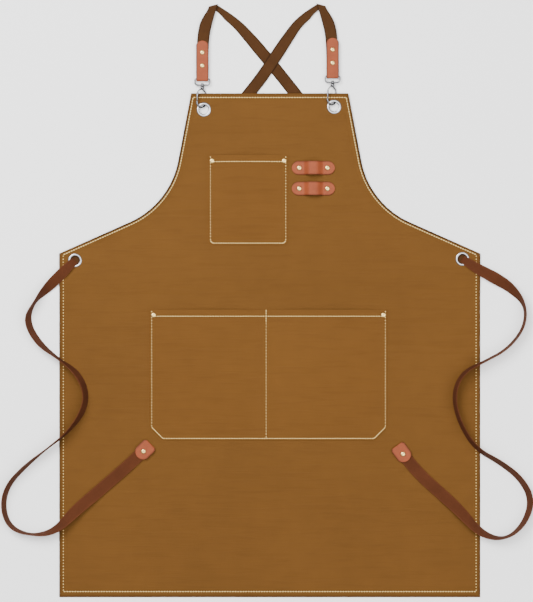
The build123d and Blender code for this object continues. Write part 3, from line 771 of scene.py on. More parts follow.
class APRON_OT_panel(Operator):
    """Apron cloth with its turned hem"""

    bl_idname = "apron.panel"
    bl_label = "Apron Cloth"

    def execute(self, context):
        low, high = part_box("apron_panel")
        hem = context.scene.apron_sizes.hem_width
        armhole = armhole_line()[::-1]
        ends = 1.4 * hem * np.linspace(0, 1, 14) ** 1.5
        close = ends[-1]
        rows = np.concatenate(
            [
                low[1] + ends[:-1],
                np.linspace(low[1] + close, WAIST_CORNER_Y - close, 110),
                WAIST_CORNER_Y - ends[-2::-1],
                np.linspace(WAIST_CORNER_Y, BEND_END_Y, 44)[1:],
                np.linspace(BEND_END_Y, high[1] - close, 44)[1:],
                high[1] - ends[-2::-1],
            ]
        )
        wide = np.where(rows <= WAIST_CORNER_Y, high[0], np.interp(rows, *armhole.T[::-1]))[:, None]
        outer = wide - ends[:-1]
        x = np.hstack([-outer, np.linspace(-1, 1, 121) * (wide - close), outer[:, ::-1]])
        y = np.broadcast_to(rows[:, None], x.shape)
        edge = distance_to_line(np.stack([x.ravel(), y.ravel()], axis=1), outline()).reshape(x.shape)
        top = np.stack([x, y, cloth_front(x, y, edge)], axis=-1)
        under = back_height(y) - 1.8 * MM * (1 - smooth((edge - hem) / (1.0 * MM)))
        bottom = np.stack([x, y, np.maximum(under, 0.0)], axis=-1)
        cloth = two_faced_sheet("apron_cloth", top, bottom, material("Waxed Cloth"))
        for row in ("bib", "waist"):
            for side in SIDES:
                self.cut_hole(cloth, *middle_of(f"{row}_grommet_{side}"))
        self.shade_edges(cloth)
        keep(cloth, "apron", "cloth", "apron_panel")
        return {"FINISHED"}

    @staticmethod
    def shade_edges(cloth):
        """Stores painted shadow at each point: a little outside the hem's stitches, and much along the
        armholes, where the turned hem's fold lies in shade.
        """
        points = np.zeros(3 * len(cloth.data.vertices))
        cloth.data.vertices.foreach_get("co", points)
        flat = points.reshape(-1, 3)[:, :2]
        edge = distance_to_line(flat, outline())
        armhole = armhole_line()
        run = np.vstack([armhole, armhole[::-1] + [1.0, 0.0]])
        near = distance_to_line(np.column_stack([np.abs(flat[:, 0]), flat[:, 1]]), run)
        hollow = smooth((flat[:, 1] - 0.112) / 0.03) * (1 - smooth((flat[:, 1] - 0.30) / 0.07))
        dark = (0.35 + 0.6 * hollow) * (1 - smooth((near - 0.9 * MM) / (2.2 * MM)))
        set_point_values(cloth, "side", np.maximum(dark, 0.22 * (1 - smooth((edge - 3 * MM) / (3 * MM)))))

    @staticmethod
    def cut_hole(cloth, x, y):
        """Cuts a round hole right through the cloth."""
        profile = [(0, -0.01), (HOLE_RADIUS, -0.01), (HOLE_RADIUS, 0.03), (0, 0.03)]
        cutter = turned("cutter", profile, [(x, y, 0)], TURNED_ON_Z, cloth.data.materials[0], 48)
        cut = cloth.modifiers.new("hole", "BOOLEAN")
        cut.operation = "DIFFERENCE"
        cut.solver = "EXACT"
        cut.object = cutter
        shown = cloth.evaluated_get(bpy.context.evaluated_depsgraph_get())
        mesh = bpy.data.meshes.new_from_object(shown)
        cloth.modifiers.clear()
        cloth.data = mesh
        bpy.data.objects.remove(cutter)


class APRON_OT_pockets(Operator):
    """Chest pocket and divided lower pocket, open at the top"""

    bl_idname = "apron.pockets"
    bl_label = "Pockets"

    def execute(self, context):
        for name, columns, rows in zip(POCKETS, (61, 181), (71, 101)):
            low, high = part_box(name)
            share = np.linspace(0.0, 1.0, rows)
            y = low[1] + (high[1] - low[1]) * (smooth(share) + share) / 2
            left, right = pocket_edges(name, y)
            x = left[:, None] + (right - left)[:, None] * np.linspace(0, 1, columns)
            y = np.broadcast_to(y[:, None], x.shape)
            front = pocket_front(name, x, y)
            top = np.stack([x, y, front], axis=-1)
            bottom = np.stack([x, y, front - POCKET_SHEET], axis=-1)
            made = two_faced_sheet(name, top, bottom, material("Pocket Cloth"))
            keep(made, "apron", "pocket_cloth", name)
        return {"FINISHED"}


# ---------------------------------------------------------------- stitches


def stitch_shape():
    """One stitch as a low dome: rings of an ellipsoid, one long, half wide and half high."""
    turn = np.linspace(0, 2 * np.pi, 6, endpoint=False)
    rings = []
    for along, size in ((-1.0, 0.0), (-0.75, 0.72), (0.0, 1.0), (0.75, 0.72), (1.0, 0.0)):
        rings.append(np.stack([np.full(6, along), size * np.cos(turn), size * np.sin(turn)], axis=1))
    return np.concatenate(rings), grid_faces(5, 6, close_columns=True)


def sew(name, lines, height, stitch=None):
    """Stitches along lines of (x, y) points, laid on the surface that height gives. The stitch is
    its pitch and length."""
    sizes = bpy.context.scene.apron_sizes
    pitch, length = stitch or (sizes.stitch_pitch, sizes.stitch_length)
    shape, shape_faces = stitch_shape()
    places, ways = [], []
    for line in lines:
        spaced = even(np.column_stack([line, np.zeros(len(line))]), pitch)[:, :2]
        places.append((spaced[:-1] + spaced[1:]) / 2)
        ways.append(unit(np.diff(spaced, axis=0)))
    place, way = np.concatenate(places), np.concatenate(ways)
    ahead = height(*(place + way * length / 2).T)
    behind = height(*(place - way * length / 2).T)
    along = np.column_stack([way, (ahead - behind) / length])
    side = np.column_stack([-way[:, 1], way[:, 0], np.zeros(len(way))])
    middle = np.column_stack([place, (ahead + behind) / 2 + 0.25 * sizes.thread])
    half = 0.5 * sizes.thread
    points = (
        middle[:, None]
        + shape[None, :, :1] * 0.5 * length * along[:, None]
        + shape[None, :, 1:2] * half * side[:, None]
        + shape[None, :, 2:] * half * 0.8 * UP
    )
    faces = (shape_faces[None] + len(shape) * np.arange(len(place))[:, None, None]).reshape(-1, 4)
    made = put_mesh(name, points, faces.tolist(), material("Thread"))
    tidy_surface(made)
    keep(made, "apron", "cloth")


def cloth_surface(x, y):
    """Height of the cloth's front at loose points."""
    return cloth_front(x, y, distance_to_line(np.stack([x, y], axis=1), outline()))


class APRON_OT_stitches(Operator):
    """Rows of pale stitches along the hems and round the pockets"""

    bl_idname = "apron.stitches"
    bl_label = "Stitches"

    def execute(self, context):
        low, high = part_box("apron_panel")
        sizes = context.scene.apron_sizes
        side_x, top_y = high[0] - sizes.side_inset, high[1] - sizes.top_inset
        bottom_y = low[1] + sizes.bottom_inset
        armhole = armhole_line()
        run = unit(np.gradient(armhole, axis=0))
        inner = armhole + sizes.armhole_inset * np.stack([run[:, 1], -run[:, 0]], axis=1)
        inner = inner[(inner[:, 1] < top_y) & (inner[:, 0] < side_x)]
        waist_y = inner[-1][1] + (side_x - inner[-1][0]) * run[-1][1] / run[-1][0]
        bib_x = inner[0][0] + (top_y - inner[0][1]) * run[0][0] / run[0][1]
        sides = [[(s * side_x, bottom_y), (s * side_x, waist_y)] for s in (-1, 1)]
        curves = [np.vstack([[bib_x, top_y], inner, [side_x, waist_y]]) * [s, 1] for s in (-1, 1)]
        flats = [[(-side_x, bottom_y), (side_x, bottom_y)], [(-bib_x, top_y), (bib_x, top_y)]]
        sew("side_stitches", sides, cloth_surface)
        sew("armhole_stitches", curves, cloth_surface, HEM_STITCH)
        sew("hem_stitches", flats, cloth_surface, HEM_STITCH)
        for name in POCKETS:
            self.sew_pocket(name)
        return {"FINISHED"}

    @staticmethod
    def sew_pocket(name):
        """Dotted sides a little inside the edge, and closer stitches below, at the mouth and across
        the corners."""
        low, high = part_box(name)
        inset, corner = 3.3 * MM, POCKET_CORNER[name]
        left, right, floor = low[0] + inset, high[0] - inset, low[1] + inset
        mouth_y = high[1] - 11 * MM
        corner_y = low[1] + corner
        corner_left, corner_right = low[0] + corner, high[0] - corner
        dotted = [[(x, high[1] - 1 * MM), (x, corner_y)] for x in (left, right)]
        close = [
            [(corner_left, floor), (corner_right, floor)],
            [(left, mouth_y), (right, mouth_y)],
            [(left, corner_y), (corner_left, floor)],
            [(right, corner_y), (corner_right, floor)],
        ]
        if name == "lower_pocket":
            split_y = mouth_y - 10 * MM
            dotted.append([(DIVIDER_X, floor), (DIVIDER_X, split_y)])
            close.append([(DIVIDER_X, split_y), (DIVIDER_X, high[1])])
        surface = partial(pocket_front, name)
        sew(f"{name}_stitches", dotted, surface)
        sew(f"{name}_close_stitches", close, surface, POCKET_STITCH)


# ---------------------------------------------------------------- leather


def stadium(along, length, half):
    """Half width of a strip with half-round ends, at distances along it."""
    short = np.clip(np.minimum(along, length - along) / half, 0, 1)
    return half * np.sqrt(np.maximum(1 - (1 - short) ** 2, 1e-4))


def end_spaced(length, radius, count=16, step=2.0 * MM):
    """Distances along a strip, close together at both of its round ends."""
    bend = radius * (1 - np.cos(np.linspace(0, np.pi / 2, count)))
    middle = np.linspace(radius, length - radius, max(3, int((length - 2 * radius) / step)))
    return np.concatenate([bend[:-1], middle, (length - bend)[::-1][1:]])


class APRON_OT_tool_loops(Operator):
    """Leather tool loops with flat riveted ends and an arched middle"""

    bl_idname = "apron.tool_loops"
    bl_label = "Tool Loops"

    def execute(self, context):
        for name in ("tool_loop_upper", "tool_loop_lower"):
            low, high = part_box(name)
            half, length = (high[1] - low[1]) / 2, high[0] - low[0]
            centre_x, centre_y = middle_of(name)
            along = end_spaced(length, half)
            x = low[0] + along
            rise = high[2] - low[2] - LOOP_LEATHER
            arch = rise * smooth((17 * MM - np.abs(x - centre_x)) / (12 * MM))
            middle = np.stack([x, np.full_like(x, centre_y), low[2] + LOOP_LEATHER / 2 + arch], axis=1)
            across = np.broadcast_to([0.0, 1.0, 0.0], middle.shape)
            normal = np.cross(unit(np.gradient(middle, axis=0)), across)
            wide = stadium(along, length, half)
            made = band(name, middle, across, normal, wide, LOOP_LEATHER, material("Leather"), 50)
            keep(made, "apron", "leather", name)
        return {"FINISHED"}


def folded_strip(name, tip, way, heights, half, length, corner):
    """A leather strip folded over at its tip: one layer below, a half-round fold, and one layer above.
    It runs back from the tip against way, both ends are round, and corner narrows it at the fold."""
    low_z, high_z = heights
    side, back = np.array([-way[1], way[0], 0.0]), -np.array([way[0], way[1], 0.0])
    reach, bend = (high_z - low_z) / 2, half * 0.8
    curve = bend * (1 - np.cos(np.linspace(0, np.pi / 2, 12)))
    straight = np.concatenate([curve, np.linspace(bend, length - reach, 24)[1:]])
    lower = np.stack([length - straight, np.full_like(straight, low_z)], axis=1)
    turn = np.radians(np.linspace(-90, 90, 11))[1:-1]
    fold = np.stack([reach - reach * np.cos(turn), (low_z + high_z) / 2 + reach * np.sin(turn)], axis=1)
    upper = np.stack([length - straight[::-1], np.full_like(straight, high_z)], axis=1)
    profile = np.vstack([lower, fold, upper])
    middle = np.array([*tip, 0.0]) + profile[:, :1] * back + profile[:, 1:] * UP
    tangent = unit(np.gradient(profile, axis=0))
    normal = -tangent[:, 1:] * back + tangent[:, :1] * UP
    across = np.broadcast_to(side, middle.shape)
    end = np.clip((length - profile[:, 0]) / bend, 0, 1)
    wide = half * np.sqrt(np.maximum(1 - (1 - end) ** 2, 2e-3))
    squeeze = 1 - corner * (1 - np.clip(profile[:, 0] / (3 * MM), 0, 1))
    return band(name, middle, across, normal, wide * squeeze, LEATHER, material("Leather"), 50)


class APRON_OT_shoulder_tabs(Operator):
    """Leather tabs folded round the strap eyes and riveted through the webbing"""

    bl_idname = "apron.shoulder_tabs"
    bl_label = "Shoulder Tabs"

    def execute(self, context):
        for side in SIDES:
            name = f"shoulder_tab_{side}"
            low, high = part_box(name)
            tip = ((low[0] + high[0]) / 2, low[1])
            heights = (low[2] + 1.15 * MM, high[2] - 1.15 * MM)
            half, length = (high[0] - low[0]) / 2, high[1] - low[1]
            made = folded_strip(name, tip, (0.0, -1.0), heights, half, length, 0.04)
            keep(made, f"strap_end_{side}", "leather", name)
        return {"FINISHED"}


class APRON_OT_rivets(Operator):
    """Domed brass rivets and their flat backs"""

    bl_idname = "apron.rivets"
    bl_label = "Rivets"

    def execute(self, context):
        for name in ("tool_loop", *POCKETS):
            self.set_rivets(f"{name}_rivets", f"{name}_rivet_backs", "apron", CAP_RADIUS)
        for side in SIDES:
            body = f"strap_end_{side}"
            self.set_rivets(f"tab_rivets_{side}", f"tab_rivet_backs_{side}", body, TAB_CAP_RADIUS)
        return {"FINISHED"}

    @staticmethod
    def spots(low, high, radius):
        """Centres of the caps at both ends of a span, or one centre where the span holds one cap."""
        first, last = sorted(round(v, 6) for v in (low + radius, high - radius))
        return [first, last] if last - first > 1 * MM else [first]

    def set_rivets(self, caps, backs, body, radius):
        """A cap at each corner of the node's footprint, a plain shank below it and a flat back cap."""
        low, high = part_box(caps)
        under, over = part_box(backs)
        xs, ys = (self.spots(low[k], high[k], radius) for k in range(2))
        places = np.array([(x, y, 0.0) for x in xs for y in ys])
        top = places + high[2] * UP
        cap = turned(caps, cap_profile(radius, high[2] - under[2]), top, TURNED_ON_Z, material("Brass"))
        keep(cap, body, "rivet", caps)
        thick = over[2] - under[2]
        rim = [(radius * 0.8, 0.0), (radius, 0.35 * thick), (radius, thick)]
        profile = [(SHANK_RADIUS, 0.0), *rim, (SHANK_RADIUS, thick)]
        bottom = places + under[2] * UP
        back = turned(backs, profile, bottom, TURNED_ON_Z, material("Brass"))
        keep(back, body, "rivet", backs)


def cap_profile(radius, depth):
    """Radius and height of a rivet from its crown down: a dimple, a dome, a rim and a straight shank."""
    shares = (0.0, 0.16, 0.27, 0.36, 0.62, 0.84, 0.97, 1.0)
    heights = in_mm(-0.62, -0.55, -0.12, 0.0, -0.14, -0.52, -1.12, -1.6)
    dome = [(share * radius, height) for share, height in zip(shares, heights)]
    return [*dome, (SHANK_RADIUS, -1.7 * MM), (SHANK_RADIUS, -depth), (0.0, -depth)]


# ---------------------------------------------------------------- metal


class APRON_OT_grommets(Operator):
    """Grommets with their washers"""

    bl_idname = "apron.grommets"
    bl_label = "Grommets"

    def execute(self, context):
        for row, rim_width in (("bib", 4.2 * MM), ("waist", 3.7 * MM)):
            for side in SIDES:
                self.set_grommet(f"{row}_grommet_{side}", f"{row}_washer_{side}", rim_width)
        return {"FINISHED"}

    @staticmethod
    def set_grommet(grommet, washer, rim_width):
        """A ring with a round rim on the cloth's front and a barrel through it, and a flat washer behind."""
        low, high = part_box(grommet)
        place = [(*middle_of(grommet), 0)]
        bore, barrel = in_mm(7.75, 8.2)
        outer, seat = (high[0] - low[0]) / 2, high[2] - 1.2 * MM
        middle, reach = outer - rim_width / 2, rim_width / 2
        turn = np.radians(np.linspace(0, 180, 13))
        rim = np.column_stack([middle + reach * np.cos(turn), seat + (0.15 + 1.05 * np.sin(turn)) * MM])
        profile = [(bore, low[2]), (barrel, low[2]), (barrel, seat), (outer, seat), *rim, (bore, seat)]
        ring = turned(grommet, profile, place, TURNED_ON_Z, material("Ring"), 64)
        keep(ring, "apron", "grommet", grommet)
        low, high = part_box(washer)
        hole, wide = 8.3 * MM, (high[0] - low[0]) / 2
        bevel = [(wide - 0.5 * MM, low[2]), (wide, low[2] + 0.3 * MM)]
        profile = [(hole, high[2]), (hole, low[2]), *bevel, (wide, high[2])]
        keep(turned(washer, profile, place, TURNED_ON_Z, material("Ring"), 64), "apron", "grommet", washer)


def stem_place(side):
    """Where the axis of a hook's stem crosses its grommet's middle."""
    x, y = middle_of(f"bib_grommet_{side}")
    return np.array([x + STEM_OFFSET_X, y, STEM_Z])


def hook_point(side, out, along, lift=0.0):
    """A point in the plane of a hook's wire: out from the stem, along +Y from the grommet, and lifted
    off the plane."""
    tilt = math.radians(HOOK_TILT)
    front = np.array([-math.cos(tilt), 0.0, math.sin(tilt)])
    ahead = np.array([0.0, 1.0, 0.0])
    out, along = np.asarray(out)[..., None], np.asarray(along)[..., None]
    return stem_place(side) + out * front + along * ahead + lift * np.cross(front, ahead)


class APRON_OT_snap_hooks(Operator):
    """Snap hooks: a bent wire with a swivel stem, a gate pin and a sprung gate"""

    bl_idname = "apron.snap_hooks"
    bl_label = "Snap Hooks"

    def execute(self, context):
        nickel = material("Nickel")
        lug_out, lug_along = in_mm(-1.5, 1.0, 3.2, 4.6, 5.6), in_mm(35.0, 34.6, 33.8, 33.0, 32.6)
        neck_profile = in_mm((0, 32.5), (1.6, 33), (2.9, 34.4), (3.4, 36), (3.2, 37.8), (2.4, 38.8))
        head_profile = in_mm((1.4, 38.8), (1.4, 42.4), (2.5, 42.4), (2.5, 43), (1.9, 43.6), (0, 43.75))
        stem_profile = np.vstack([neck_profile, head_profile])
        gate_out = in_mm(10.35, 10.35, 10.3, 10.1, 9.4, 8.0, 6.4, 5.0)
        gate_along = in_mm(14.4, 15.5, 20.0, 24.5, 27.5, 30.0, 32.0, 33.2)
        for side in SIDES:
            wire = self.wire(side, nickel)
            stem = turned(f"hook_stem_{side}", stem_profile, [stem_place(side)], TURNED_ON_Y, nickel)
            lug_line = hook_point(side, lug_out, lug_along)
            lug = rod(f"hook_lug_{side}", lug_line, in_mm(1.0, 1.3, 1.3, 1.15, 0.5), nickel)
            body = join(f"snap_hook_{side}", [wire, stem, lug])
            keep(body, f"hook_{side}", "hook_metal", f"snap_hook_{side}")
            reach = 2.35 * MM * np.array([-1, -0.9, 0.9, 1])
            pin_line = np.stack([hook_point(side, 4.6 * MM, 33 * MM, lift) for lift in reach])
            pin = rod(f"gate_pin_{side}", pin_line, in_mm(0.5, 0.85, 0.85, 0.5), nickel)
            keep(pin, f"hook_{side}", "hook_metal", f"gate_pin_{side}")
            blade_line = hook_point(side, gate_out[:5], gate_along[:5])
            gate = [rod(f"gate_blade_{side}", blade_line, in_mm(0.75, 1.15, 1.25, 1.5, 1.1), nickel)]
            for lift in in_mm(-1.55, 1.55):
                cheek_line = hook_point(side, gate_out[3:], gate_along[3:], lift)
                gate.append(rod(f"gate_cheek_{side}", cheek_line, in_mm(0.5, 0.5, 0.5, 0.5, 0.45), nickel))
            keep(join(f"snap_gate_{side}", gate), f"gate_{side}", "hook_metal", f"snap_gate_{side}")
        return {"FINISHED"}

    @staticmethod
    def wire(side, finish):
        """The hook's wire: down the front from its thin nose, round a half circle, and up the back to
        the stem, which it joins on a smooth step."""
        front, back, foot, neck = in_mm(10.5, -6.5, 3.5, 35.5)
        radius = (front - back) / 2
        turn_y = foot + radius
        bend = np.radians(np.linspace(0, -180, 33))
        rise = np.linspace(0, 1, 14)[1:]
        nose_y = np.linspace(14.0 * MM, turn_y, 7)[:-1]
        back_y = np.linspace(turn_y, HOOK_RISE_START, 8)[1:]
        curve_out = (front + back) / 2 + radius * np.cos(bend)
        out = np.concatenate([np.full(6, front), curve_out, np.full(7, back), back * (1 - smooth(rise))])
        rise_y = HOOK_RISE_START + (neck - HOOK_RISE_START) * rise
        along = np.concatenate([nose_y, turn_y + radius * np.sin(bend), back_y, rise_y])
        thick = (1.35 + 0.35 * smooth((out - 2 * MM) / (5 * MM))) * MM
        thick[:3] *= (0.55, 0.8, 0.95)
        return rod(f"hook_wire_{side}", hook_point(side, out, along), thick, finish, 20)


class APRON_OT_strap_eyes(Operator):
    """Wire eyes that turn on the hooks' stems and hold the shoulder tabs"""

    bl_idname = "apron.strap_eyes"
    bl_label = "Strap Eyes"

    def execute(self, context):
        boss_profile = in_mm((1.46, 39), (2.3, 39), (2.85, 39.5), (2.85, 41.7), (2.3, 42.2), (1.46, 42.2))
        for side in SIDES:
            low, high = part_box(f"strap_eye_{side}")
            x, z = (low[0] + high[0]) / 2, (low[2] + high[2]) / 2
            y = middle_of(f"bib_grommet_{side}")[1]
            wire = self.wire(side, x, z, y + 40.6 * MM, (high[0] - low[0]) / 2, high[1])
            boss = turned(f"eye_boss_{side}", boss_profile, [(x, y, z)], TURNED_ON_Y, material("Nickel"))
            eye = join(f"strap_eye_{side}", [wire, boss])
            keep(eye, f"eye_{side}", "hook_metal", f"strap_eye_{side}")
        return {"FINISHED"}

    @staticmethod
    def wire(side, x, z, foot, outer, top):
        """A closed loop of round wire: four quarter-round corners, wide at the foot and tight at the head."""
        half, head = outer - EYE_WIRE, top - EYE_WIRE
        wide, tight = in_mm(4.0, 1.6)
        right = [(half, foot, wide, -90), (half, head, tight, 0)]
        left = [(-half, head, tight, 90), (-half, foot, wide, 180)]
        line = []
        for corner_x, corner_y, radius, start in right + left:
            turn = np.radians(start + np.linspace(0, 90, 9))
            centre_x = x + corner_x - math.copysign(radius, corner_x)
            centre_y = corner_y + (radius if corner_y == foot else -radius)
            line += [(centre_x + radius * math.cos(t), centre_y + radius * math.sin(t), z) for t in turn]
        loop = even(np.array([*line, line[0]]), 1.0 * MM)[:-1]
        tangent = unit(np.roll(loop, -1, axis=0) - np.roll(loop, 1, axis=0))
        points = loop[:, None] + EYE_WIRE * circles(np.cross(tangent, UP), UP, 16)
        faces = grid_faces(len(loop), 16, close_rows=True, close_columns=True).tolist()
        made = put_mesh(f"eye_wire_{side}", points, faces, material("Nickel"))
        tidy_surface(made)
        return made


# ---------------------------------------------------------------- straps


def level_frames(line):
    """Across and up directions of a strap that lies flat along a line."""
    tangent = unit(np.gradient(line, axis=0))
    across = unit(np.cross(tangent, UP))
    return across, np.cross(across, tangent)


def leaning(line, across, end, way):
    """Across directions that turn smoothly to way over the last stretch before the line's end at a fold."""
    near = smooth(1 - np.linalg.norm(line - end, axis=1) / LEAN_REACH)[:, None]
    return across * (1 - near) + way * near


class APRON_OT_shoulder_straps(Operator):
    """Webbing from each shoulder tab, folded at the shoulder, crossed and run down to the far grommet"""

    bl_idname = "apron.shoulder_straps"
    bl_label = "Shoulder Straps"

    def execute(self, context):
        for side in SIDES:
            self.lay_strap(context, side)
        return {"FINISHED"}

    @staticmethod
    def sections(side, half):
        """The strap's line with its across and up directions and half widths, and its front and back runs.
        The front run turns over in a half-round fold to the back run. Near the fold the strap turns to the
        fold's own direction, its outer corner is pulled in, and the back run starts narrower."""
        front = even(spline_points([(x, y, STEM_Z) for x, y in FRONT_ROUTES[side]]), 3 * MM)
        back = even(spline_points(BACK_ROUTES[side]), 4 * MM)
        back = np.vstack([back, back[-1] + unit(back[-1] - back[-2]) * PAST_HOLE])
        inward = 1.0 if side == "left" else -1.0
        turn = math.radians(FOLD_ANGLE) * inward
        fold_way = np.array([math.cos(turn), math.sin(turn), 0.0])
        past = np.array([-fold_way[1], fold_way[0], 0.0])
        front_across, front_up = level_frames(front)
        back_across, back_up = level_frames(back)
        if front_across[-1] @ fold_way < 0:
            fold_way = -fold_way
        if back_across[0] @ fold_way < 0:
            back_across = -back_across
        arc = np.radians(np.linspace(90, -90, FOLD_STEPS + 2))[1:-1, None]
        share = np.linspace(0, 1, FOLD_STEPS + 2)[1:-1, None]
        root = front[-1] * (1 - share) + back[0] * share
        middle, radius = (front[-1][2] + back[0][2]) / 2, (front[-1][2] - back[0][2]) / 2
        fold_up = np.cos(arc) * past + np.sin(arc) * UP
        fold = np.column_stack([root[:, :2], np.full(FOLD_STEPS, middle)]) + radius * fold_up
        line = np.concatenate([front, fold, back])
        front_set = leaning(front, front_across, front[-1], fold_way)
        back_set = leaning(back, back_across, back[0], fold_way)
        across = unit(np.concatenate([front_set, np.broadcast_to(fold_way, fold.shape), back_set]))
        up = np.concatenate([front_up, fold_up, -back_up])
        up = unit(up - across * (up * across).sum(1)[:, None])
        level = np.concatenate([front_across, np.broadcast_to(front_across[-1], fold.shape), back_across])
        wide = half / np.maximum(np.abs((level * across).sum(1)), 0.7)
        number = np.arange(len(line)) - len(front)
        from_fold = np.linalg.norm(line - back[0], axis=1)
        narrow = 1 - PULL_IN * (1 - smooth(from_fold / NARROW_REACH))
        wide = np.where(number >= FOLD_STEPS // 2, wide * narrow, wide)
        to_fold = np.linalg.norm(line - (front[-1] + back[0]) / 2, axis=1)
        corner = PULL_IN * smooth(1 - to_fold / CORNER_REACH) * (number < FOLD_STEPS + 7)
        line = line + (half * corner * inward)[:, None] * np.array([1.0, 0.0, 0.0])
        return line, across, up, wide * (1 - corner), front, back

    def lay_strap(self, context, side):
        """One strap, cut at two seams into three pieces."""
        half = context.scene.apron_sizes.strap_half
        line, across, up, wide, front, back = self.sections(side, half)
        cuts = [int(np.argmin(np.abs(front[:, 1] - y))) for y in (TAB_TO_EYE_SEAM, EYE_TO_HOOK_SEAM)]
        seams = [0, *cuts, len(line) - 1]
        pieces = []
        names = (("end", "front"), ("shoulder", "fold"), ("back", "back"))
        for (label, stood_for), first, last in zip(names, seams, seams[1:]):
            run = slice(first, last + 1)
            shape = (line[run], across[run], up[run], wide[run])
            piece = band(f"strap_{label}_{side}", *shape, WEB, material("Webbing"), 60)
            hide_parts(f"{stood_for}_webbing_{side}")
            pieces.append(piece)
        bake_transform(pieces[0])
        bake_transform(pieces[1])
        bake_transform(pieces[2])


class APRON_OT_waist_tails(Operator):
    """Free strap tails out of the waist grommets, turned on edge and laid flat again at the leather ends"""

    bl_idname = "apron.waist_tails"
    bl_label = "Waist Tails"

    def execute(self, context):
        for side in SIDES:
            x, y, z, lean, half = np.array(TAIL_ROUTES[side]).T
            line = even(spline_points(np.column_stack([x, y, z]).tolist(), 12), 2.5 * MM)
            nearest = np.array([np.argmin(np.hypot(*(line[:, :2] - place).T)) for place in zip(x, y)])
            nearest = np.maximum.accumulate(nearest)
            nearest[0], nearest[-1] = 0, len(line) - 1
            steps = np.arange(len(line))
            soften = np.hanning(15) / np.hanning(15).sum()
            lean = np.pad(np.interp(steps, nearest, np.radians(lean)), 7, mode="edge")
            lean = np.convolve(lean, soften, mode="valid")[:, None]
            level, up = level_frames(line)
            outward = 1.0 if side == "left" else -1.0
            across = level * np.cos(lean) + outward * up * np.sin(lean)
            normal = up * np.cos(lean) - outward * level * np.sin(lean)
            wide = np.interp(steps, nearest, half)
            tail = band(f"waist_tail_{side}", line, across, normal, wide, WEB, material("Tail Webbing"), 60)
            nodes = [f"{node}_{side}" for node in ("waist_pass", "tail_start", "waist_tail", "tail_end")]
            keep(tail, "apron", "webbing", *nodes)
            self.end_tab(side)
        return {"FINISHED"}

    @staticmethod
    def end_tab(side):
        """Leather folded over the strap's tip, with one rivet through it."""
        x, y, angle = END_TIPS[side]
        tab, rivet = f"end_tab_{side}", f"end_rivet_{side}"
        low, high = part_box(tab)
        way = (math.cos(math.radians(angle)), math.sin(math.radians(angle)))
        heights = (low[2] + LEATHER / 2, high[2] - LEATHER / 2)
        leather = folded_strip(tab, (x, y), way, heights, END_HALF_WIDTH, END_LENGTH, 0.22)
        keep(leather, "apron", "leather", tab)
        under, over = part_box(rivet)
        place = (x - way[0] * END_RIVET_BACK, y - way[1] * END_RIVET_BACK, over[2])
        profile = cap_profile(CAP_RADIUS, over[2] - under[2])
        cap = turned(rivet, profile, [place], TURNED_ON_Z, material("Brass"))
        keep(cap, "apron", "rivet", rivet)
        return [leather, cap]


# ---------------------------------------------------------------- stage


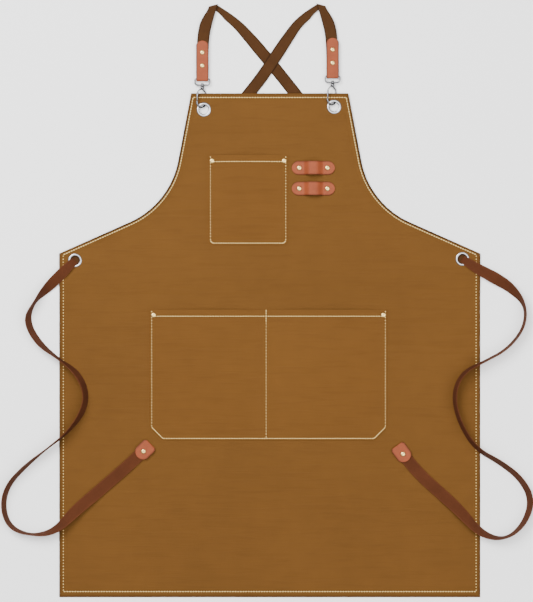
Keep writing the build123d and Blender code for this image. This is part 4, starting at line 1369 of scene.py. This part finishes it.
class APRON_OT_stage(Operator):
    """Pale floor, soft lights and a long-lens camera straight above"""

    bl_idname = "apron.stage"
    bl_label = "Stage"

    def execute(self, context):
        reach = 6.0
        ring = np.array([(-1, -1, 0), (1, -1, 0), (1, 1, 0), (-1, 1, 0)], float) * reach
        base_material("Pale Floor", (0.93, 0.93, 0.93), 0.9, specular=0.1)
        floor = put_mesh("floor", ring - 0.3 * MM * UP, [[0, 1, 2, 3]], MATERIALS["Pale Floor"])
        self.light("key", (-1.25, 1.3, 2.3), 118.0, 1.5)
        self.light("fill", (1.8, -0.6, 2.4), 50.0, 2.2)
        self.light("top", (0.1, 0.3, 3.2), 62.0, 2.0)
        self.sky(context.scene)
        camera = bpy.data.cameras.new("camera")
        camera.lens = CAMERA_LENS
        camera.clip_end = 50
        holder = bpy.data.objects.new("camera", camera)
        context.scene.collection.objects.link(holder)
        holder.location = CAMERA_PLACE
        context.scene.camera = holder
        return {"FINISHED"}

    @staticmethod
    def sky(scene):
        """A studio sky: pale at the horizon and overhead, with a dark belt between for the metal to show."""
        world = bpy.data.worlds.new("studio")
        world.use_nodes = True
        tree = world.node_tree
        back = tree.nodes["Background"].inputs
        back["Strength"].default_value = 1.5
        way = node(tree, "SeparateXYZ", {0: node(tree, "TexCoord", {}).outputs["Generated"]})
        ramp = node(tree, "ValToRGB", {"Fac": way.outputs["Z"]})
        stops = ramp.color_ramp.elements
        stops[0].position, stops[0].color = 0.2, (0.8, 0.8, 0.8, 1.0)
        stops[1].position, stops[1].color = 0.78, (1.0, 1.0, 1.0, 1.0)
        for place in (0.38, 0.52):
            stops.new(place).color = (0.03, 0.03, 0.035, 1.0)
        tree.links.new(ramp.outputs["Color"], back["Color"])
        scene.world = world

    @staticmethod
    def light(name, place, power, size):
        """A square soft light turned to face the middle of the apron."""
        lamp = bpy.data.lights.new(name, "AREA")
        lamp.energy = power
        lamp.size = size
        holder = bpy.data.objects.new(name, lamp)
        bpy.context.scene.collection.objects.link(holder)
        holder.location = place
        holder.rotation_mode = "QUATERNION"
        holder.rotation_quaternion = Vector(place).to_track_quat("Z", "Y")


BUILD_ORDER = (
    APRON_OT_stage,
    APRON_OT_shoulder_straps,
    APRON_OT_waist_tails,
    APRON_OT_panel,
    APRON_OT_pockets,
    APRON_OT_stitches,
    APRON_OT_tool_loops,
    APRON_OT_shoulder_tabs,
    APRON_OT_rivets,
    APRON_OT_grommets,
    APRON_OT_snap_hooks,
    APRON_OT_strap_eyes,
)


class APRON_PT_sidebar(Panel):
    """Lists the apron's sizes, colours and pieces"""

    bl_idname = "APRON_PT_sidebar"
    bl_label = "Butcher Apron"
    bl_space_type = "VIEW_3D"
    bl_region_type = "UI"
    bl_category = "Apron"

    def draw(self, context):
        for group_name in ("apron_sizes", "apron_colours"):
            values = getattr(context.scene, group_name)
            for key in values.__annotations__:
                self.layout.prop(values, key)
        for step in BUILD_ORDER:
            self.layout.operator(step.bl_idname)


CLASSES = (ApronSizes, ApronColours, *BUILD_ORDER, APRON_PT_sidebar)


def register():
    for item in CLASSES:
        bpy.utils.register_class(item)
    bpy.types.Scene.apron_sizes = PointerProperty(type=ApronSizes)
    bpy.types.Scene.apron_colours = PointerProperty(type=ApronColours)


def unregister():
    del bpy.types.Scene.apron_colours
    del bpy.types.Scene.apron_sizes
    for item in reversed(CLASSES):
        bpy.utils.unregister_class(item)


def main():
    register()
    for step in BUILD_ORDER:
        family, action = step.bl_idname.split(".")
        getattr(getattr(bpy.ops, family), action)()


if __name__ == "__main__":
    main()
